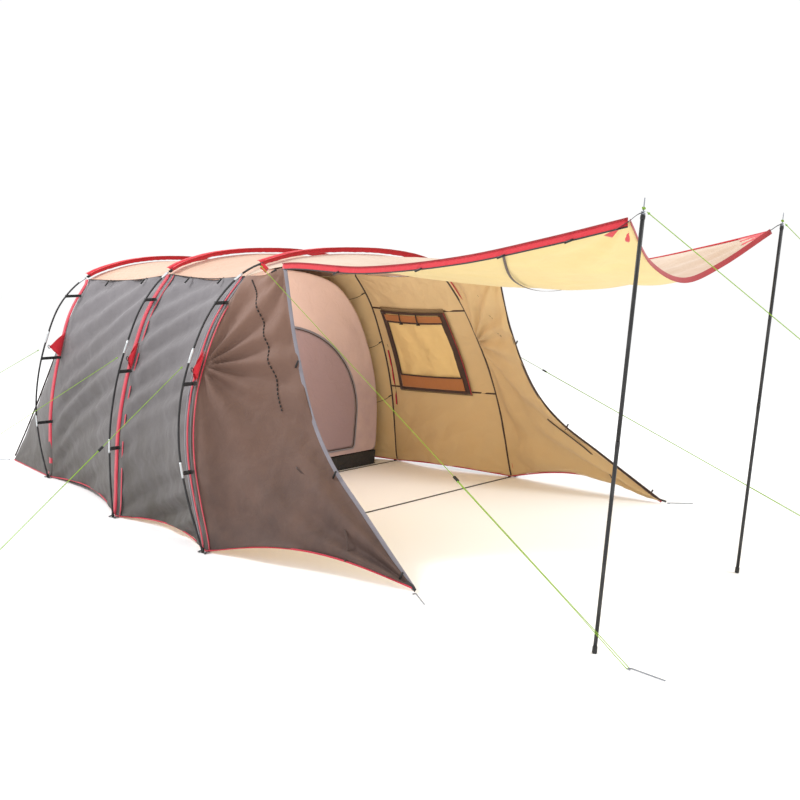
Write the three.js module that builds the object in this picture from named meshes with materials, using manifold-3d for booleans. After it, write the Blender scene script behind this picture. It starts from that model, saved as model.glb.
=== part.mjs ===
// Tunnel tent: three outside arch poles, a fly with two bays and a sloping rear, two forward wings,
// an awning on two uprights, a hung inner tent and pegged guy lines.
// Millimetres. X runs across the tunnel, Y along it with the open front at -Y, Z is up.
// The origin is the middle of the front ground strap, on the ground.
import * as THREE from "three";
import { mergeVertices } from "three/addons/utils/BufferGeometryUtils.js";
import Module from "manifold-3d";

const wasm = await Module();
wasm.setup();

// Arches: each has its own place along the tunnel, half width, height and backward lean. The shoulder
// and the belly push its sides out high up and half way up, as shares of the half width. The fly hangs
// clear of the middle of each leg by the stand-off.
const frontArch = {
  name: "front",
  y: 0,
  halfWidth: 1612,
  height: 1905,
  lean: 280,
  shoulder: -0.015,
  belly: 0,
  standOff: 65,
};
const middleArch = {
  name: "middle",
  y: 1240,
  halfWidth: 1502,
  height: 1916,
  lean: 0,
  shoulder: 0,
  belly: -0.045,
  standOff: 65,
};
const rearArch = {
  name: "rear",
  y: 2910,
  halfWidth: 1124,
  height: 1866,
  lean: -300,
  shoulder: 0.088,
  belly: 0.11,
  standOff: 110,
};
const arches = [frontArch, middleArch, rearArch];

// Poles and sleeves.
const poleRadius = 7;
const poleSides = 10;
const poleFootGap = 4;
const poleJointGap = 0.002;
const sleeveClearance = 4;
const sleeveWall = 3;

// Cloth.
const clothThickness = 4;
const clothInset = poleRadius + sleeveClearance + sleeveWall + 12;
const hemGap = 5;
const seamGap = 3;
const borderGap = 0.0015;
const rearCornerX = rearArch.halfWidth - 184;
const rearCornerY = 3900;
const rearFootReach = 60;
const rearBulge = 60;

// Forward wings.
const nearTip = new THREE.Vector3(332 - frontArch.halfWidth, -1500, 15);
const farTip = new THREE.Vector3(frontArch.halfWidth - 62, -1440, 15);
const wingTopX = frontArch.halfWidth - 534;
const wingTopReach = 215;
const wingTopZ = frontArch.height - 117;
const wingHemLift = 110;
const wingTopGap = 8;

// Awning and its uprights. Each upright is given by its foot and its top.
const uprightRadius = 9.5;
const uprightWall = 1.5;
const uprightFootGap = 1.5;
const spikeLength = 70;
const spikeRadius = 2.4;
const spikePlug = 60;
const spikeCollar = 6;
const nearFoot = new THREE.Vector3(-1380, -2730, 0);
const nearTop = new THREE.Vector3(-1340, -2900, 2000);
const farFoot = new THREE.Vector3(260, -2650, 0);
const farTop = new THREE.Vector3(350, -2790, 2000);
const awningCornerReach = new THREE.Vector3(0, 62, -28);
const awningFrontMiddle = 0.56;
const awningFrontHollow = new THREE.Vector3(0, 165, -265);
const awningQuarterHollow = new THREE.Vector3(0, 45, -50);
const awningSag = 75;

// Window in the far wall of the front bay: its sides are shares of the bay's length.
const windowStart = 0.225;
const windowEnd = 0.862;
const windowSill = 700;
const windowHead = 1410;
const windowBorder = 30;
const windowBorderShare = 0.026;
const paneGap = 9;
const curtainGap = 17;
const curtainThickness = 3;

// Hung inner tent. Its rear leans forward with the rear of the fly.
const innerFrontY = middleArch.y + 50;
const innerRearTopY = rearArch.y + rearArch.lean - 120;
const innerRearFootY = rearArch.y + 340;
const innerHalfWidthFront = middleArch.halfWidth - 292;
const innerHalfWidthRear = rearArch.halfWidth - 140;
const innerHeightFront = middleArch.height - 150;
const innerHeightRear = rearArch.height - 176;
const innerRearBulge = 60;
const innerRearHole = 0.04;
const innerFoot = 0.022;
const floorWallHeight = 130;
const floorThickness = 4;
const floorReach = 15;
const innerCloth = 3;
const innerGap = 4;
const doorHingeX = -330;
const doorCrownX = 150;
const doorRight = innerHalfWidthFront - 220;
const doorTop = innerHeightFront - 476;
const doorSill = 190;
const doorGap = 7;

// Ground straps.
const strapWidth = 25;
const strapThickness = 2;
const strapEndGap = 14;

// Guy lines: cord, slider and peg.
const cordRadius = 2;
const cordSides = 8;
const cordSteps = 8;
const sliderLength = 38;
const sliderWidth = 18;
const sliderDepth = 11;
const sliderCorner = 3;
const sliderBore = 3.1;
const pegWireRadius = 3;
const pegLength = 180;
const pegHookRadius = 10;
const pegStandOff = 6;
const pegShankBend = 40;
const guyFixingReach = 40;
const uprightFixing = new THREE.Vector3(7, -14, 12);
const crestFixingShare = 0.44;
const crestFixing = new THREE.Vector3(-50, 0, 34);

// Each line runs to a peg from a height on an arch's leg, from the top of an upright, or from the near
// wing's upper border. Its slider sits at a share of its length.
const guyLines = [
  { name: "near_rear_guy", arch: rearArch, side: -1, height: 1120, to: [-2640, 4060], slider: 0.42 },
  { name: "near_middle_guy", arch: middleArch, side: -1, height: 1150, to: [-2300, 2990], slider: 0.62 },
  { name: "near_front_guy", arch: frontArch, side: -1, height: 1160, to: [-2740, 660], slider: 0.42 },
  { name: "near_crest_guy", to: [-1430, -2940], slider: 0.62 },
  { name: "far_front_guy", arch: frontArch, side: 1, height: 1160, to: [1740, -2500], slider: 0.2 },
  { name: "near_upright_guy", top: nearTop, to: [836, -4500], slider: 0.3 },
  { name: "far_upright_guy", top: farTop, to: [1557, -4400], slider: 0.3 },
];
const hemPegs = [
  { name: "near_wing_peg", at: [nearTip.x - 20, nearTip.y - 30], towards: [-0.55, -0.83] },
  { name: "far_wing_peg", at: [farTip.x + 30, farTip.y - 25], towards: [0.6, -0.8] },
  { name: "rear_corner_peg", at: [-rearCornerX - 25, rearCornerY + 25], towards: [-0.6, 0.8] },
];

const paint = (color, roughness, metalness = 0) =>
  new THREE.MeshStandardMaterial({ color, roughness, metalness });
const flyCloth = paint(0x81766a, 0.75);
const wingCloth = paint(0x836a58, 0.75);
const roofCloth = paint(0xf2d6b4, 0.7);
const redCloth = paint(0xc81428, 0.7);
const awningCloth = paint(0xf2dda0, 0.7);
const innerClothPaint = paint(0xc9b0a8, 0.8);
const floorCloth = paint(0x1c1c1e, 0.6);
const curtainCloth = paint(0xc9ad78, 0.8);
const paneCloth = paint(0x8d7b5c, 0.6);
const blackPole = paint(0x141414, 0.35);
const steel = paint(0xa8adb5, 0.35, 0.9);
const blackWebbing = paint(0x1a1a1a, 0.8);
const limeCord = paint(0xa6d23c, 0.6);
const blackPlastic = paint(0x101010, 0.5);

const tent = new THREE.Group();
const up = new THREE.Vector3(0, 0, 1);

function addMesh(name, geometry, material) {
  const mesh = new THREE.Mesh(geometry, material);
  mesh.name = name;
  tent.add(mesh);
  return mesh;
}

// The arches share one profile: x as a share of the half width, z as a share of the height.
const legShape = [
  [1, 0],
  [1.03, 0.18],
  [1.035, 0.34],
  [1, 0.5],
  [0.93, 0.645],
  [0.82, 0.795],
  [0.65, 0.915],
];
const crestShape = [
  [0.44, 0.97],
  [0.22, 0.994],
];
const halfShape = [...legShape, ...crestShape];
const wholeShape = [
  ...halfShape.map(([x, z]) => new THREE.Vector3(-x, 0, z)),
  new THREE.Vector3(0, 0, 1),
  ...[...halfShape].reverse().map(([x, z]) => new THREE.Vector3(x, 0, z)),
];
const profile = new THREE.CatmullRomCurve3(wholeShape);
const legShare = (legShape.length - 1) / (wholeShape.length - 1);

// A point of an arch: t goes from the near foot at 0 over the crest at 0.5 to the far foot at 1.
function archPoint(arch, t, inset = 0, lift = 0) {
  const p = profile.getPoint(THREE.MathUtils.clamp(t, 0, 1));
  const rise = Math.max(p.z, 0);
  const outward = arch.shoulder * Math.sin(Math.PI * rise ** 4) + arch.belly * Math.sin(Math.PI * rise);
  const x = p.x + Math.sign(p.x) * outward;
  const y = arch.y + arch.lean * Math.sin((rise * Math.PI) / 2);
  const z = (arch.height - inset) * p.z + lift * (1 - p.z);
  return new THREE.Vector3((arch.halfWidth - inset) * x, y, z);
}

// The fly's line inside an arch: close to the pole at the foot and under the crest, clear of it between.
function clothPoint(arch, t, depth = 0, lift = 0) {
  const alongLeg = THREE.MathUtils.clamp(Math.min(t, 1 - t) / legShare, 0, 1);
  const standOff = arch.standOff * (4 * alongLeg * (1 - alongLeg)) ** 0.6;
  return archPoint(arch, t, clothInset + standOff + depth, lift);
}

// The parameter on the far leg where a line inside or along an arch reaches a height.
function farLegParameter(height, place) {
  let low = 1 - legShare;
  let high = 1;
  for (let i = 0; i < 40; i++) {
    const middle = (low + high) / 2;
    if (place(middle).z > height) low = middle;
    else high = middle;
  }
  return (low + high) / 2;
}

class PathCurve extends THREE.Curve {
  constructor(place) {
    super();
    this.place = place;
  }
  getPoint(t) {
    return this.place(t);
  }
}

function sweep(path, radius, sides, steps, boreRadius = 0) {
  const section = new THREE.Shape();
  for (let i = 0; i < sides; i++) {
    const angle = (i / sides) * Math.PI * 2;
    const corner = [radius * Math.cos(angle), radius * Math.sin(angle)];
    if (i) section.lineTo(...corner);
    else section.moveTo(...corner);
  }
  section.closePath();
  if (boreRadius) {
    const bore = new THREE.Path();
    for (let i = 0; i < sides; i++) {
      const angle = (-i / sides) * Math.PI * 2;
      const corner = [boreRadius * Math.cos(angle), boreRadius * Math.sin(angle)];
      if (i) bore.lineTo(...corner);
      else bore.moveTo(...corner);
    }
    bore.closePath();
    section.holes.push(bore);
  }
  return new THREE.ExtrudeGeometry(section, { steps, extrudePath: path, bevelEnabled: false });
}

// A flat outline given an even thickness.
function plate(outline, thickness) {
  const options = { depth: thickness, bevelEnabled: false, curveSegments: 8 };
  return new THREE.ExtrudeGeometry(outline, options);
}

// A closed sheet of even thickness whose middle surface is point(u, v), with u and v from 0 to 1.
function sheet(point, across, along, thickness = clothThickness) {
  const middle = [];
  for (let j = 0; j <= along; j++) {
    for (let i = 0; i <= across; i++) middle.push(point(i / across, j / along));
  }
  const at = (i, j) => j * (across + 1) + i;
  const positions = [];
  const offset = (side) => {
    for (let j = 0; j <= along; j++) {
      for (let i = 0; i <= across; i++) {
        const du = middle[at(Math.min(i + 1, across), j)].clone().sub(middle[at(Math.max(i - 1, 0), j)]);
        const dv = middle[at(i, Math.min(j + 1, along))].clone().sub(middle[at(i, Math.max(j - 1, 0))]);
        const normal = du.cross(dv).normalize();
        positions.push(...middle[at(i, j)].clone().addScaledVector(normal, (side * thickness) / 2));
      }
    }
  };
  offset(1);
  offset(-1);
  const back = middle.length;
  const index = [];
  const quad = (a, b, c, d) => index.push(a, b, c, a, c, d);
  for (let j = 0; j < along; j++) {
    for (let i = 0; i < across; i++) {
      quad(at(i, j), at(i + 1, j), at(i + 1, j + 1), at(i, j + 1));
      quad(back + at(i, j), back + at(i, j + 1), back + at(i + 1, j + 1), back + at(i + 1, j));
    }
  }
  for (let i = 0; i < across; i++) {
    quad(at(i, 0), back + at(i, 0), back + at(i + 1, 0), at(i + 1, 0));
    quad(at(i, along), at(i + 1, along), back + at(i + 1, along), back + at(i, along));
  }
  for (let j = 0; j < along; j++) {
    quad(at(0, j), at(0, j + 1), back + at(0, j + 1), back + at(0, j));
    quad(at(across, j), back + at(across, j), back + at(across, j + 1), at(across, j + 1));
  }
  return facingOut(positions, index);
}

// Turns every face round when the closed surface encloses a negative volume.
function facingOut(positions, index) {
  const corner = (k) => new THREE.Vector3().fromArray(positions, index[k] * 3);
  let volume = 0;
  for (let k = 0; k < index.length; k += 3) volume += corner(k).dot(corner(k + 1).cross(corner(k + 2)));
  if (volume < 0) {
    for (let k = 0; k < index.length; k += 3) [index[k + 1], index[k + 2]] = [index[k + 2], index[k + 1]];
  }
  const geometry = new THREE.BufferGeometry();
  geometry.setAttribute("position", new THREE.Float32BufferAttribute(positions, 3));
  geometry.setIndex(index);
  geometry.computeVertexNormals();
  return geometry;
}

function solidOf(geometry) {
  const bare = new THREE.BufferGeometry();
  bare.setAttribute("position", geometry.getAttribute("position"));
  if (geometry.index) bare.setIndex(geometry.index);
  const merged = mergeVertices(bare, 1e-3);
  return new wasm.Manifold(
    new wasm.Mesh({
      numProp: 3,
      vertProperties: merged.attributes.position.array,
      triVerts: new Uint32Array(merged.index.array),
    }),
  );
}

function geometryOf(solid) {
  const mesh = solid.getMesh();
  const geometry = new THREE.BufferGeometry();
  geometry.setAttribute("position", new THREE.Float32BufferAttribute(mesh.vertProperties, 3));
  geometry.setIndex(new THREE.Uint32BufferAttribute(mesh.triVerts, 1));
  geometry.computeVertexNormals();
  return geometry;
}

function cut(geometry, cutter) {
  return geometryOf(solidOf(geometry).subtract(solidOf(cutter)));
}

// Each arch pole is three sections that plug together: two legs and a curved crest.
function addArchPoles(arch) {
  const section = (name, from, to, steps) => {
    const place = (s) => archPoint(arch, THREE.MathUtils.lerp(from, to, s), 0, poleFootGap);
    addMesh(name, sweep(new PathCurve(place), poleRadius, poleSides, steps), blackPole);
  };
  section(`${arch.name}_arch_near_leg`, 0, legShare - poleJointGap, 12);
  section(`${arch.name}_arch_crest`, legShare, 1 - legShare, 12);
  section(`${arch.name}_arch_far_leg`, 1 - legShare + poleJointGap, 1, 12);
}

// The sleeve is sewn along the roof and holds the crest section.
function addSleeve(arch) {
  const place = (s) => archPoint(arch, THREE.MathUtils.lerp(legShare, 1 - legShare, s), 0, poleFootGap);
  const bore = poleRadius + sleeveClearance;
  const geometry = sweep(new PathCurve(place), bore + sleeveWall, poleSides, 12, bore);
  addMesh(`${arch.name}_crest_sleeve`, geometry, redCloth);
}

// Cloth between two arches over a stretch of the profile.
function addBay(name, from, to, start, end, across, material) {
  const length = to.y - from.y;
  const gapShare = seamGap / 2 / length;
  const geometry = sheet(
    (u, v) => {
      const t = THREE.MathUtils.lerp(start, end, u);
      const a = clothPoint(from, t, 0, hemGap);
      const b = clothPoint(to, t, 0, hemGap);
      return a.lerp(b, THREE.MathUtils.lerp(gapShare, 1 - gapShare, v));
    },
    across,
    4,
  );
  addMesh(name, geometry, material);
}

// A point of the front bay's far wall at a share of its length and a height.
function farWallPoint(share, z, depth) {
  const t = farLegParameter(z, (s) => clothPoint(frontArch, s));
  return clothPoint(frontArch, t, depth).lerp(clothPoint(middleArch, t, depth), share);
}

function addFly() {
  addBay("front_roof", frontArch, middleArch, legShare + borderGap, 1 - legShare - borderGap, 12, roofCloth);
  addBay("rear_roof", middleArch, rearArch, legShare + borderGap, 1 - legShare - borderGap, 12, roofCloth);
  addBay("near_front_wall", frontArch, middleArch, 0, legShare - borderGap, 12, flyCloth);
  addBay("near_rear_wall", middleArch, rearArch, 0, legShare - borderGap, 12, flyCloth);
  addBay("far_rear_wall", middleArch, rearArch, 1 - legShare + borderGap, 1, 12, flyCloth);
  addBay("far_front_wall", frontArch, middleArch, 1 - legShare + borderGap, 1, 12, flyCloth);
  cutWindow(tent.getObjectByName("far_front_wall"));
  addWindow();
  addRearEnd();
}

function cutWindow(wall) {
  const outline = new THREE.Shape();
  const corners = [
    [windowStart, windowSill],
    [windowEnd, windowSill],
    [windowEnd, windowHead],
    [windowStart, windowHead],
  ];
  corners.forEach(([share, z], i) => {
    const p = farWallPoint(share, z, 0);
    if (i) outline.lineTo(p.y, p.z);
    else outline.moveTo(p.y, p.z);
  });
  outline.closePath();
  const opening = plate(outline, frontArch.halfWidth);
  const turn = new THREE.Matrix4().makeBasis(
    new THREE.Vector3(0, 1, 0),
    new THREE.Vector3(0, 0, 1),
    new THREE.Vector3(1, 0, 0),
  );
  opening.applyMatrix4(turn);
  opening.translate(frontArch.halfWidth / 2, 0, 0);
  wall.geometry = cut(wall.geometry, opening);
}

function addWindow() {
  const patch = (borders, depth) => {
    const side = borders * windowBorderShare;
    const end = borders * windowBorder;
    const point = (u, v) =>
      farWallPoint(
        THREE.MathUtils.lerp(windowStart - side, windowEnd + side, u),
        THREE.MathUtils.lerp(windowSill - end, windowHead + end, v),
        depth,
      );
    return sheet(point, 4, 6, curtainThickness);
  };
  addMesh("window_mesh_pane", patch(1, paneGap), paneCloth);
  addMesh("window_curtain", patch(-0.5, curtainGap), curtainCloth);
}

// The rear slopes from the last arch to a straight hem between the two rear corners.
function addRearEnd() {
  const footY = rearArch.y + rearFootReach;
  const cornerShare = legShare;
  const footX = rearArch.halfWidth - clothInset;
  const base = (t) => {
    const side = t < 0.5 ? -1 : 1;
    const fromFoot = Math.min(t, 1 - t) / cornerShare;
    if (fromFoot < 1) {
      const x = THREE.MathUtils.lerp(footX, rearCornerX, fromFoot);
      return new THREE.Vector3(side * x, THREE.MathUtils.lerp(footY, rearCornerY, fromFoot), hemGap);
    }
    const x = THREE.MathUtils.mapLinear(t, cornerShare, 1 - cornerShare, -rearCornerX, rearCornerX);
    return new THREE.Vector3(x, rearCornerY, hemGap);
  };
  const geometry = sheet(
    (t, v) => {
      const top = clothPoint(rearArch, t, 0, hemGap);
      top.y += seamGap;
      const p = top.lerp(base(t), v);
      p.y += rearBulge * Math.sin(Math.PI * v) * Math.sin(Math.PI * t);
      return p;
    },
    30,
    6,
  );
  addMesh("rear_end", geometry, flyCloth);
}

const wingTop = (side) => new THREE.Vector3(side * wingTopX, -wingTopReach, wingTopZ);

// The front edge of a wing falls from the awning's edge in a hollow curve to the pegged tip.
function wingFrontEdge(side, tip) {
  const fall = [
    [0.36, 0.19],
    [0.6, 0.32],
    [0.76, 0.46],
    [0.91, 0.72],
  ];
  const top = wingTop(side);
  const place = ([along, height]) => {
    const p = tip.clone().lerp(top, along);
    p.z = THREE.MathUtils.lerp(tip.z, top.z, height);
    return p;
  };
  return new THREE.CatmullRomCurve3([tip, ...fall.map(place), top]);
}

function addWing(name, side, tip) {
  const edge = wingFrontEdge(side, tip);
  const geometry = sheet(
    (u, v) => {
      const t = side < 0 ? u * (legShare - borderGap) : 1 - u * (legShare - borderGap);
      const rear = clothPoint(frontArch, t, 0, hemGap);
      rear.y -= seamGap;
      const front = edge.getPoint(u);
      front.z -= wingTopGap * u;
      rear.z -= (wingTopGap / 2) * u;
      const p = rear.lerp(front, v);
      p.z += wingHemLift * Math.sin(Math.PI * v) * (1 - u) ** 3;
      return p;
    },
    14,
    8,
  );
  addMesh(name, geometry, wingCloth);
}

const nearCorner = nearTop.clone().add(awningCornerReach);
const farCorner = farTop.clone().add(awningCornerReach);

function awningEdge(side, corner) {
  const border = clothPoint(frontArch, side < 0 ? legShare : 1 - legShare);
  border.y -= seamGap;
  const along = (share, drop) => {
    const p = wingTop(side).lerp(corner, share);
    p.z -= drop;
    return p;
  };
  return new THREE.CatmullRomCurve3([
    border,
    wingTop(side),
    along(0.3, 80),
    along(0.6, 85),
    along(0.82, 45),
    corner.clone(),
  ]);
}

// The awning hangs between the front arch, its two side edges and a hollow front edge.
function addAwning() {
  const near = awningEdge(-1, nearCorner);
  const far = awningEdge(1, farCorner);
  const middle = nearCorner.clone().lerp(farCorner, awningFrontMiddle).add(awningFrontHollow);
  const quarter = (a, b) => a.clone().lerp(b, 0.5).add(awningQuarterHollow);
  const front = new THREE.CatmullRomCurve3([
    nearCorner,
    quarter(nearCorner, middle),
    middle,
    quarter(middle, farCorner),
    farCorner,
  ]);
  const back = (u) => {
    const p = clothPoint(frontArch, THREE.MathUtils.lerp(legShare, 1 - legShare, u));
    p.y -= seamGap;
    return p;
  };
  const geometry = sheet(
    (u, v) => {
      const p = back(u).multiplyScalar(1 - v).addScaledVector(front.getPoint(u), v);
      p.addScaledVector(near.getPoint(v), 1 - u).addScaledVector(far.getPoint(v), u);
      p.addScaledVector(back(0), -(1 - u) * (1 - v)).addScaledVector(back(1), -u * (1 - v));
      p.addScaledVector(nearCorner, -(1 - u) * v).addScaledVector(farCorner, -u * v);
      p.z -= awningSag * Math.sin(Math.PI * u) * Math.sin(Math.PI * v);
      return p;
    },
    12,
    14,
  );
  addMesh("awning", geometry, awningCloth);
}

// An upright is two steel tube sections, with a spike plugged in its top.
function addUpright(name, foot, top) {
  const axis = top.clone().sub(foot);
  const length = axis.length();
  const turn = new THREE.Quaternion().setFromUnitVectors(up, axis.clone().normalize());
  const place = (mesh, along) => {
    mesh.quaternion.copy(turn);
    mesh.position.copy(foot).addScaledVector(axis, along / length);
    mesh.position.z += uprightFootGap;
  };
  const tube = (from, to) =>
    sweep(
      new THREE.LineCurve3(new THREE.Vector3(0, 0, 0), new THREE.Vector3(0, 0, to - from)),
      uprightRadius,
      16,
      1,
      uprightRadius - uprightWall,
    );
  const joint = length / 2;
  place(addMesh(`${name}_lower_tube`, tube(0, joint), blackPole), 0);
  place(addMesh(`${name}_upper_tube`, tube(joint + 0.5, length), blackPole), joint + 0.5);
  const plug = uprightRadius - uprightWall - 1;
  const outline = [
    [0, -spikePlug],
    [plug, -spikePlug],
    [plug, 0.4],
    [uprightRadius, 0.4],
    [uprightRadius, spikeCollar],
    [spikeRadius + 0.6, spikeCollar + 2],
    [spikeRadius, spikeLength],
    [0, spikeLength + 2],
  ].map(([r, z]) => new THREE.Vector2(r, z));
  const spike = new THREE.LatheGeometry(outline, 12);
  spike.rotateX(Math.PI / 2);
  place(addMesh(`${name}_spike`, spike, steel), length);
}

// The door is a rounded arch, straight down its hinged side. The gap widens it into the hole it fills.
const doorOutline = (gap) => {
  const outline = new THREE.Shape();
  const right = doorRight + gap;
  const top = doorTop + gap;
  outline.moveTo(doorHingeX - gap, doorSill - gap);
  outline.lineTo(right - 40, doorSill - gap);
  outline.lineTo(right, doorSill + 330);
  outline.bezierCurveTo(right, top - 330, right - 370, top - 25, doorCrownX, top);
  outline.bezierCurveTo(doorCrownX - 250, top + 10, doorHingeX - gap, top, doorHingeX - gap, top - 140);
  outline.closePath();
  return outline;
};

function standing(shape, y, thickness) {
  const geometry = plate(shape, thickness);
  geometry.rotateX(Math.PI / 2);
  geometry.translate(0, y, 0);
  return geometry;
}

// The inner tent: a tunnel that closes at the rear, a front panel with a door, and a bucket floor.
function addInnerTent() {
  const tunnelShare = 0.85;
  const point = (u, v) => {
    const p = profile.getPoint(THREE.MathUtils.lerp(innerFoot, 1 - innerFoot, u));
    const along = Math.min(v / tunnelShare, 1);
    const closing = Math.max(v - tunnelShare, 0) / (1 - tunnelShare);
    const shrink = THREE.MathUtils.lerp(1, innerRearHole, closing);
    const halfWidth = THREE.MathUtils.lerp(innerHalfWidthFront, innerHalfWidthRear, along);
    const height = THREE.MathUtils.lerp(innerHeightFront, innerHeightRear, along);
    const middle = height / 2;
    const z = middle + (Math.max(height * p.z, floorWallHeight + innerGap) - middle) * shrink;
    const rearY = THREE.MathUtils.lerp(innerRearFootY, innerRearTopY, z / height);
    const y = THREE.MathUtils.lerp(innerFrontY + innerGap, rearY, along);
    return new THREE.Vector3(halfWidth * p.x * shrink, y + (1 - shrink) * innerRearBulge, z);
  };
  addMesh("inner_tent_shell", sheet(point, 24, 8, innerCloth), innerClothPaint);

  const front = new THREE.Shape();
  const lowest = floorWallHeight + innerGap;
  for (let i = 0; i <= 24; i++) {
    const p = profile.getPoint(THREE.MathUtils.lerp(innerFoot, 1 - innerFoot, i / 24));
    const z = Math.max(innerHeightFront * p.z, lowest);
    if (i) front.lineTo(innerHalfWidthFront * p.x, z);
    else front.moveTo(innerHalfWidthFront * p.x, z);
  }
  front.closePath();
  const panel = standing(front, innerFrontY, innerCloth);
  const reach = innerCloth * 4;
  const hole = standing(doorOutline(doorGap), innerFrontY + reach, reach * 2);
  addMesh("inner_tent_front", cut(panel, hole), innerClothPaint);
  addMesh("inner_tent_door", standing(doorOutline(0), innerFrontY, innerCloth), innerClothPaint);

  const tub = (inset, bottom, top) => {
    const outline = new THREE.Shape();
    const reach = floorReach - inset;
    const front = innerFrontY - reach;
    const rear = innerRearFootY + reach;
    outline.moveTo(-innerHalfWidthFront - reach, front);
    outline.lineTo(innerHalfWidthFront + reach, front);
    outline.lineTo(innerHalfWidthRear + reach, rear);
    outline.lineTo(-innerHalfWidthRear - reach, rear);
    outline.closePath();
    const geometry = plate(outline, top - bottom);
    geometry.translate(0, 0, bottom);
    return geometry;
  };
  const hollow = tub(floorThickness, 1 + floorThickness, floorWallHeight + 10);
  addMesh("inner_tent_floor", cut(tub(0, 1, floorWallHeight), hollow), floorCloth);
}

function addStrap(name, arch) {
  const length = 2 * (arch.halfWidth - clothInset - strapEndGap);
  const strap = new THREE.BoxGeometry(length, strapWidth, strapThickness);
  addMesh(name, strap, blackWebbing).position.set(0, arch.y, strapThickness / 2);
}

// A peg lies on the ground in line with what it holds: a round wire with a hook at its head.
function addPeg(name, at, towards) {
  const points = [new THREE.Vector3(pegStandOff + pegHookRadius + pegLength, 0, 0)];
  for (let i = 3; i >= 0; i--) {
    points.push(new THREE.Vector3(pegStandOff + pegHookRadius + pegShankBend * i, 0, 0));
  }
  for (let degrees = 135; degrees <= 315; degrees += 45) {
    const angle = THREE.MathUtils.degToRad(degrees);
    const x = pegStandOff + pegHookRadius + pegHookRadius * Math.cos(angle);
    points.push(new THREE.Vector3(x, -pegHookRadius + pegHookRadius * Math.sin(angle), 0));
  }
  const geometry = sweep(new THREE.CatmullRomCurve3(points), pegWireRadius, cordSides, 16);
  const mesh = addMesh(name, geometry, steel);
  mesh.position.set(at[0], at[1], pegWireRadius + 0.5);
  mesh.rotation.z = Math.atan2(towards[1], towards[0]);
}

// Where a line is tied: beside the top of an upright, above the near wing's border or outside a leg.
function guyStart({ arch, side, height, top }) {
  if (top) return top.clone().add(uprightFixing);
  if (!arch) return wingTop(-1).lerp(clothPoint(frontArch, legShare), crestFixingShare).add(crestFixing);
  const t = farLegParameter(height, (s) => archPoint(arch, s));
  const p = archPoint(arch, side < 0 ? 1 - t : t);
  p.x += side * guyFixingReach;
  return p;
}

function addGuyLine(line) {
  const { name, to, slider } = line;
  const start = guyStart(line);
  const end = new THREE.Vector3(to[0], to[1], pegWireRadius + 1);
  const axis = end.clone().sub(start).normalize();
  const cord = sweep(new THREE.LineCurve3(start, end), cordRadius, cordSides, cordSteps);
  addMesh(`${name}_cord`, cord, limeCord);

  const half = new THREE.Vector2(sliderWidth / 2, sliderDepth / 2);
  const outline = new THREE.Shape();
  outline.moveTo(-half.x + sliderCorner, -half.y);
  outline.lineTo(half.x - sliderCorner, -half.y);
  outline.lineTo(half.x, 0);
  outline.lineTo(half.x - sliderCorner, half.y);
  outline.lineTo(-half.x + sliderCorner, half.y);
  outline.lineTo(-half.x, 0);
  outline.closePath();
  const bore = new THREE.Path();
  bore.absarc(0, 0, sliderBore, 0, Math.PI * 2, true);
  outline.holes.push(bore);
  const body = plate(outline, sliderLength);
  body.translate(0, 0, -sliderLength / 2);
  const mesh = addMesh(`${name}_slider`, body, blackPlastic);
  mesh.position.copy(start).lerp(end, slider);
  mesh.quaternion.setFromUnitVectors(up, axis);

  addPeg(`${name}_peg`, to, [axis.x, axis.y]);
}

for (const arch of arches) {
  addArchPoles(arch);
  addSleeve(arch);
}
addFly();
addWing("near_wing", -1, nearTip);
addWing("far_wing", 1, farTip);
addAwning();
addUpright("near_upright", nearFoot, nearTop);
addUpright("far_upright", farFoot, farTop);
addInnerTent();
addStrap("front_ground_strap", frontArch);
addStrap("middle_ground_strap", middleArch);
for (const line of guyLines) addGuyLine(line);
for (const peg of hemPegs) addPeg(peg.name, peg.at, peg.towards);

export default tent;
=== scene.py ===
"""Looks of a tunnel tent: cloth, tapes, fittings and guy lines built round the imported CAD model.

Metres, in the row's frame: X across the tunnel, Y along it with the open front at -Y, Z up.
"""
import math
import random

import bmesh
import bpy
from mathutils import Matrix, Vector, noise


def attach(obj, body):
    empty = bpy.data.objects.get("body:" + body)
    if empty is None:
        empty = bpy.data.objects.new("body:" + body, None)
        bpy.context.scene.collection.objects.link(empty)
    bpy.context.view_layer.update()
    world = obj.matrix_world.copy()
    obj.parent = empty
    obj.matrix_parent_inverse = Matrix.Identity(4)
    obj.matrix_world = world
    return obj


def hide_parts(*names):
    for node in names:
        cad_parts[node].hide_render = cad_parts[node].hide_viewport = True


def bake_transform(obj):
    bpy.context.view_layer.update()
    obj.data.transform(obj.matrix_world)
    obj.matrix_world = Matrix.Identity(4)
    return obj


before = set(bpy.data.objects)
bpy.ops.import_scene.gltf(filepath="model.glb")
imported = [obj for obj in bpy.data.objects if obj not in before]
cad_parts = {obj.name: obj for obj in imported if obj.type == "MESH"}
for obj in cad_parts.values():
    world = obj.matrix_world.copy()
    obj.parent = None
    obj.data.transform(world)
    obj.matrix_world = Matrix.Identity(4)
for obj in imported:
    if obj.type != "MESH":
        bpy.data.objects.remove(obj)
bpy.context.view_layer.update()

random.seed(7)

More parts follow.
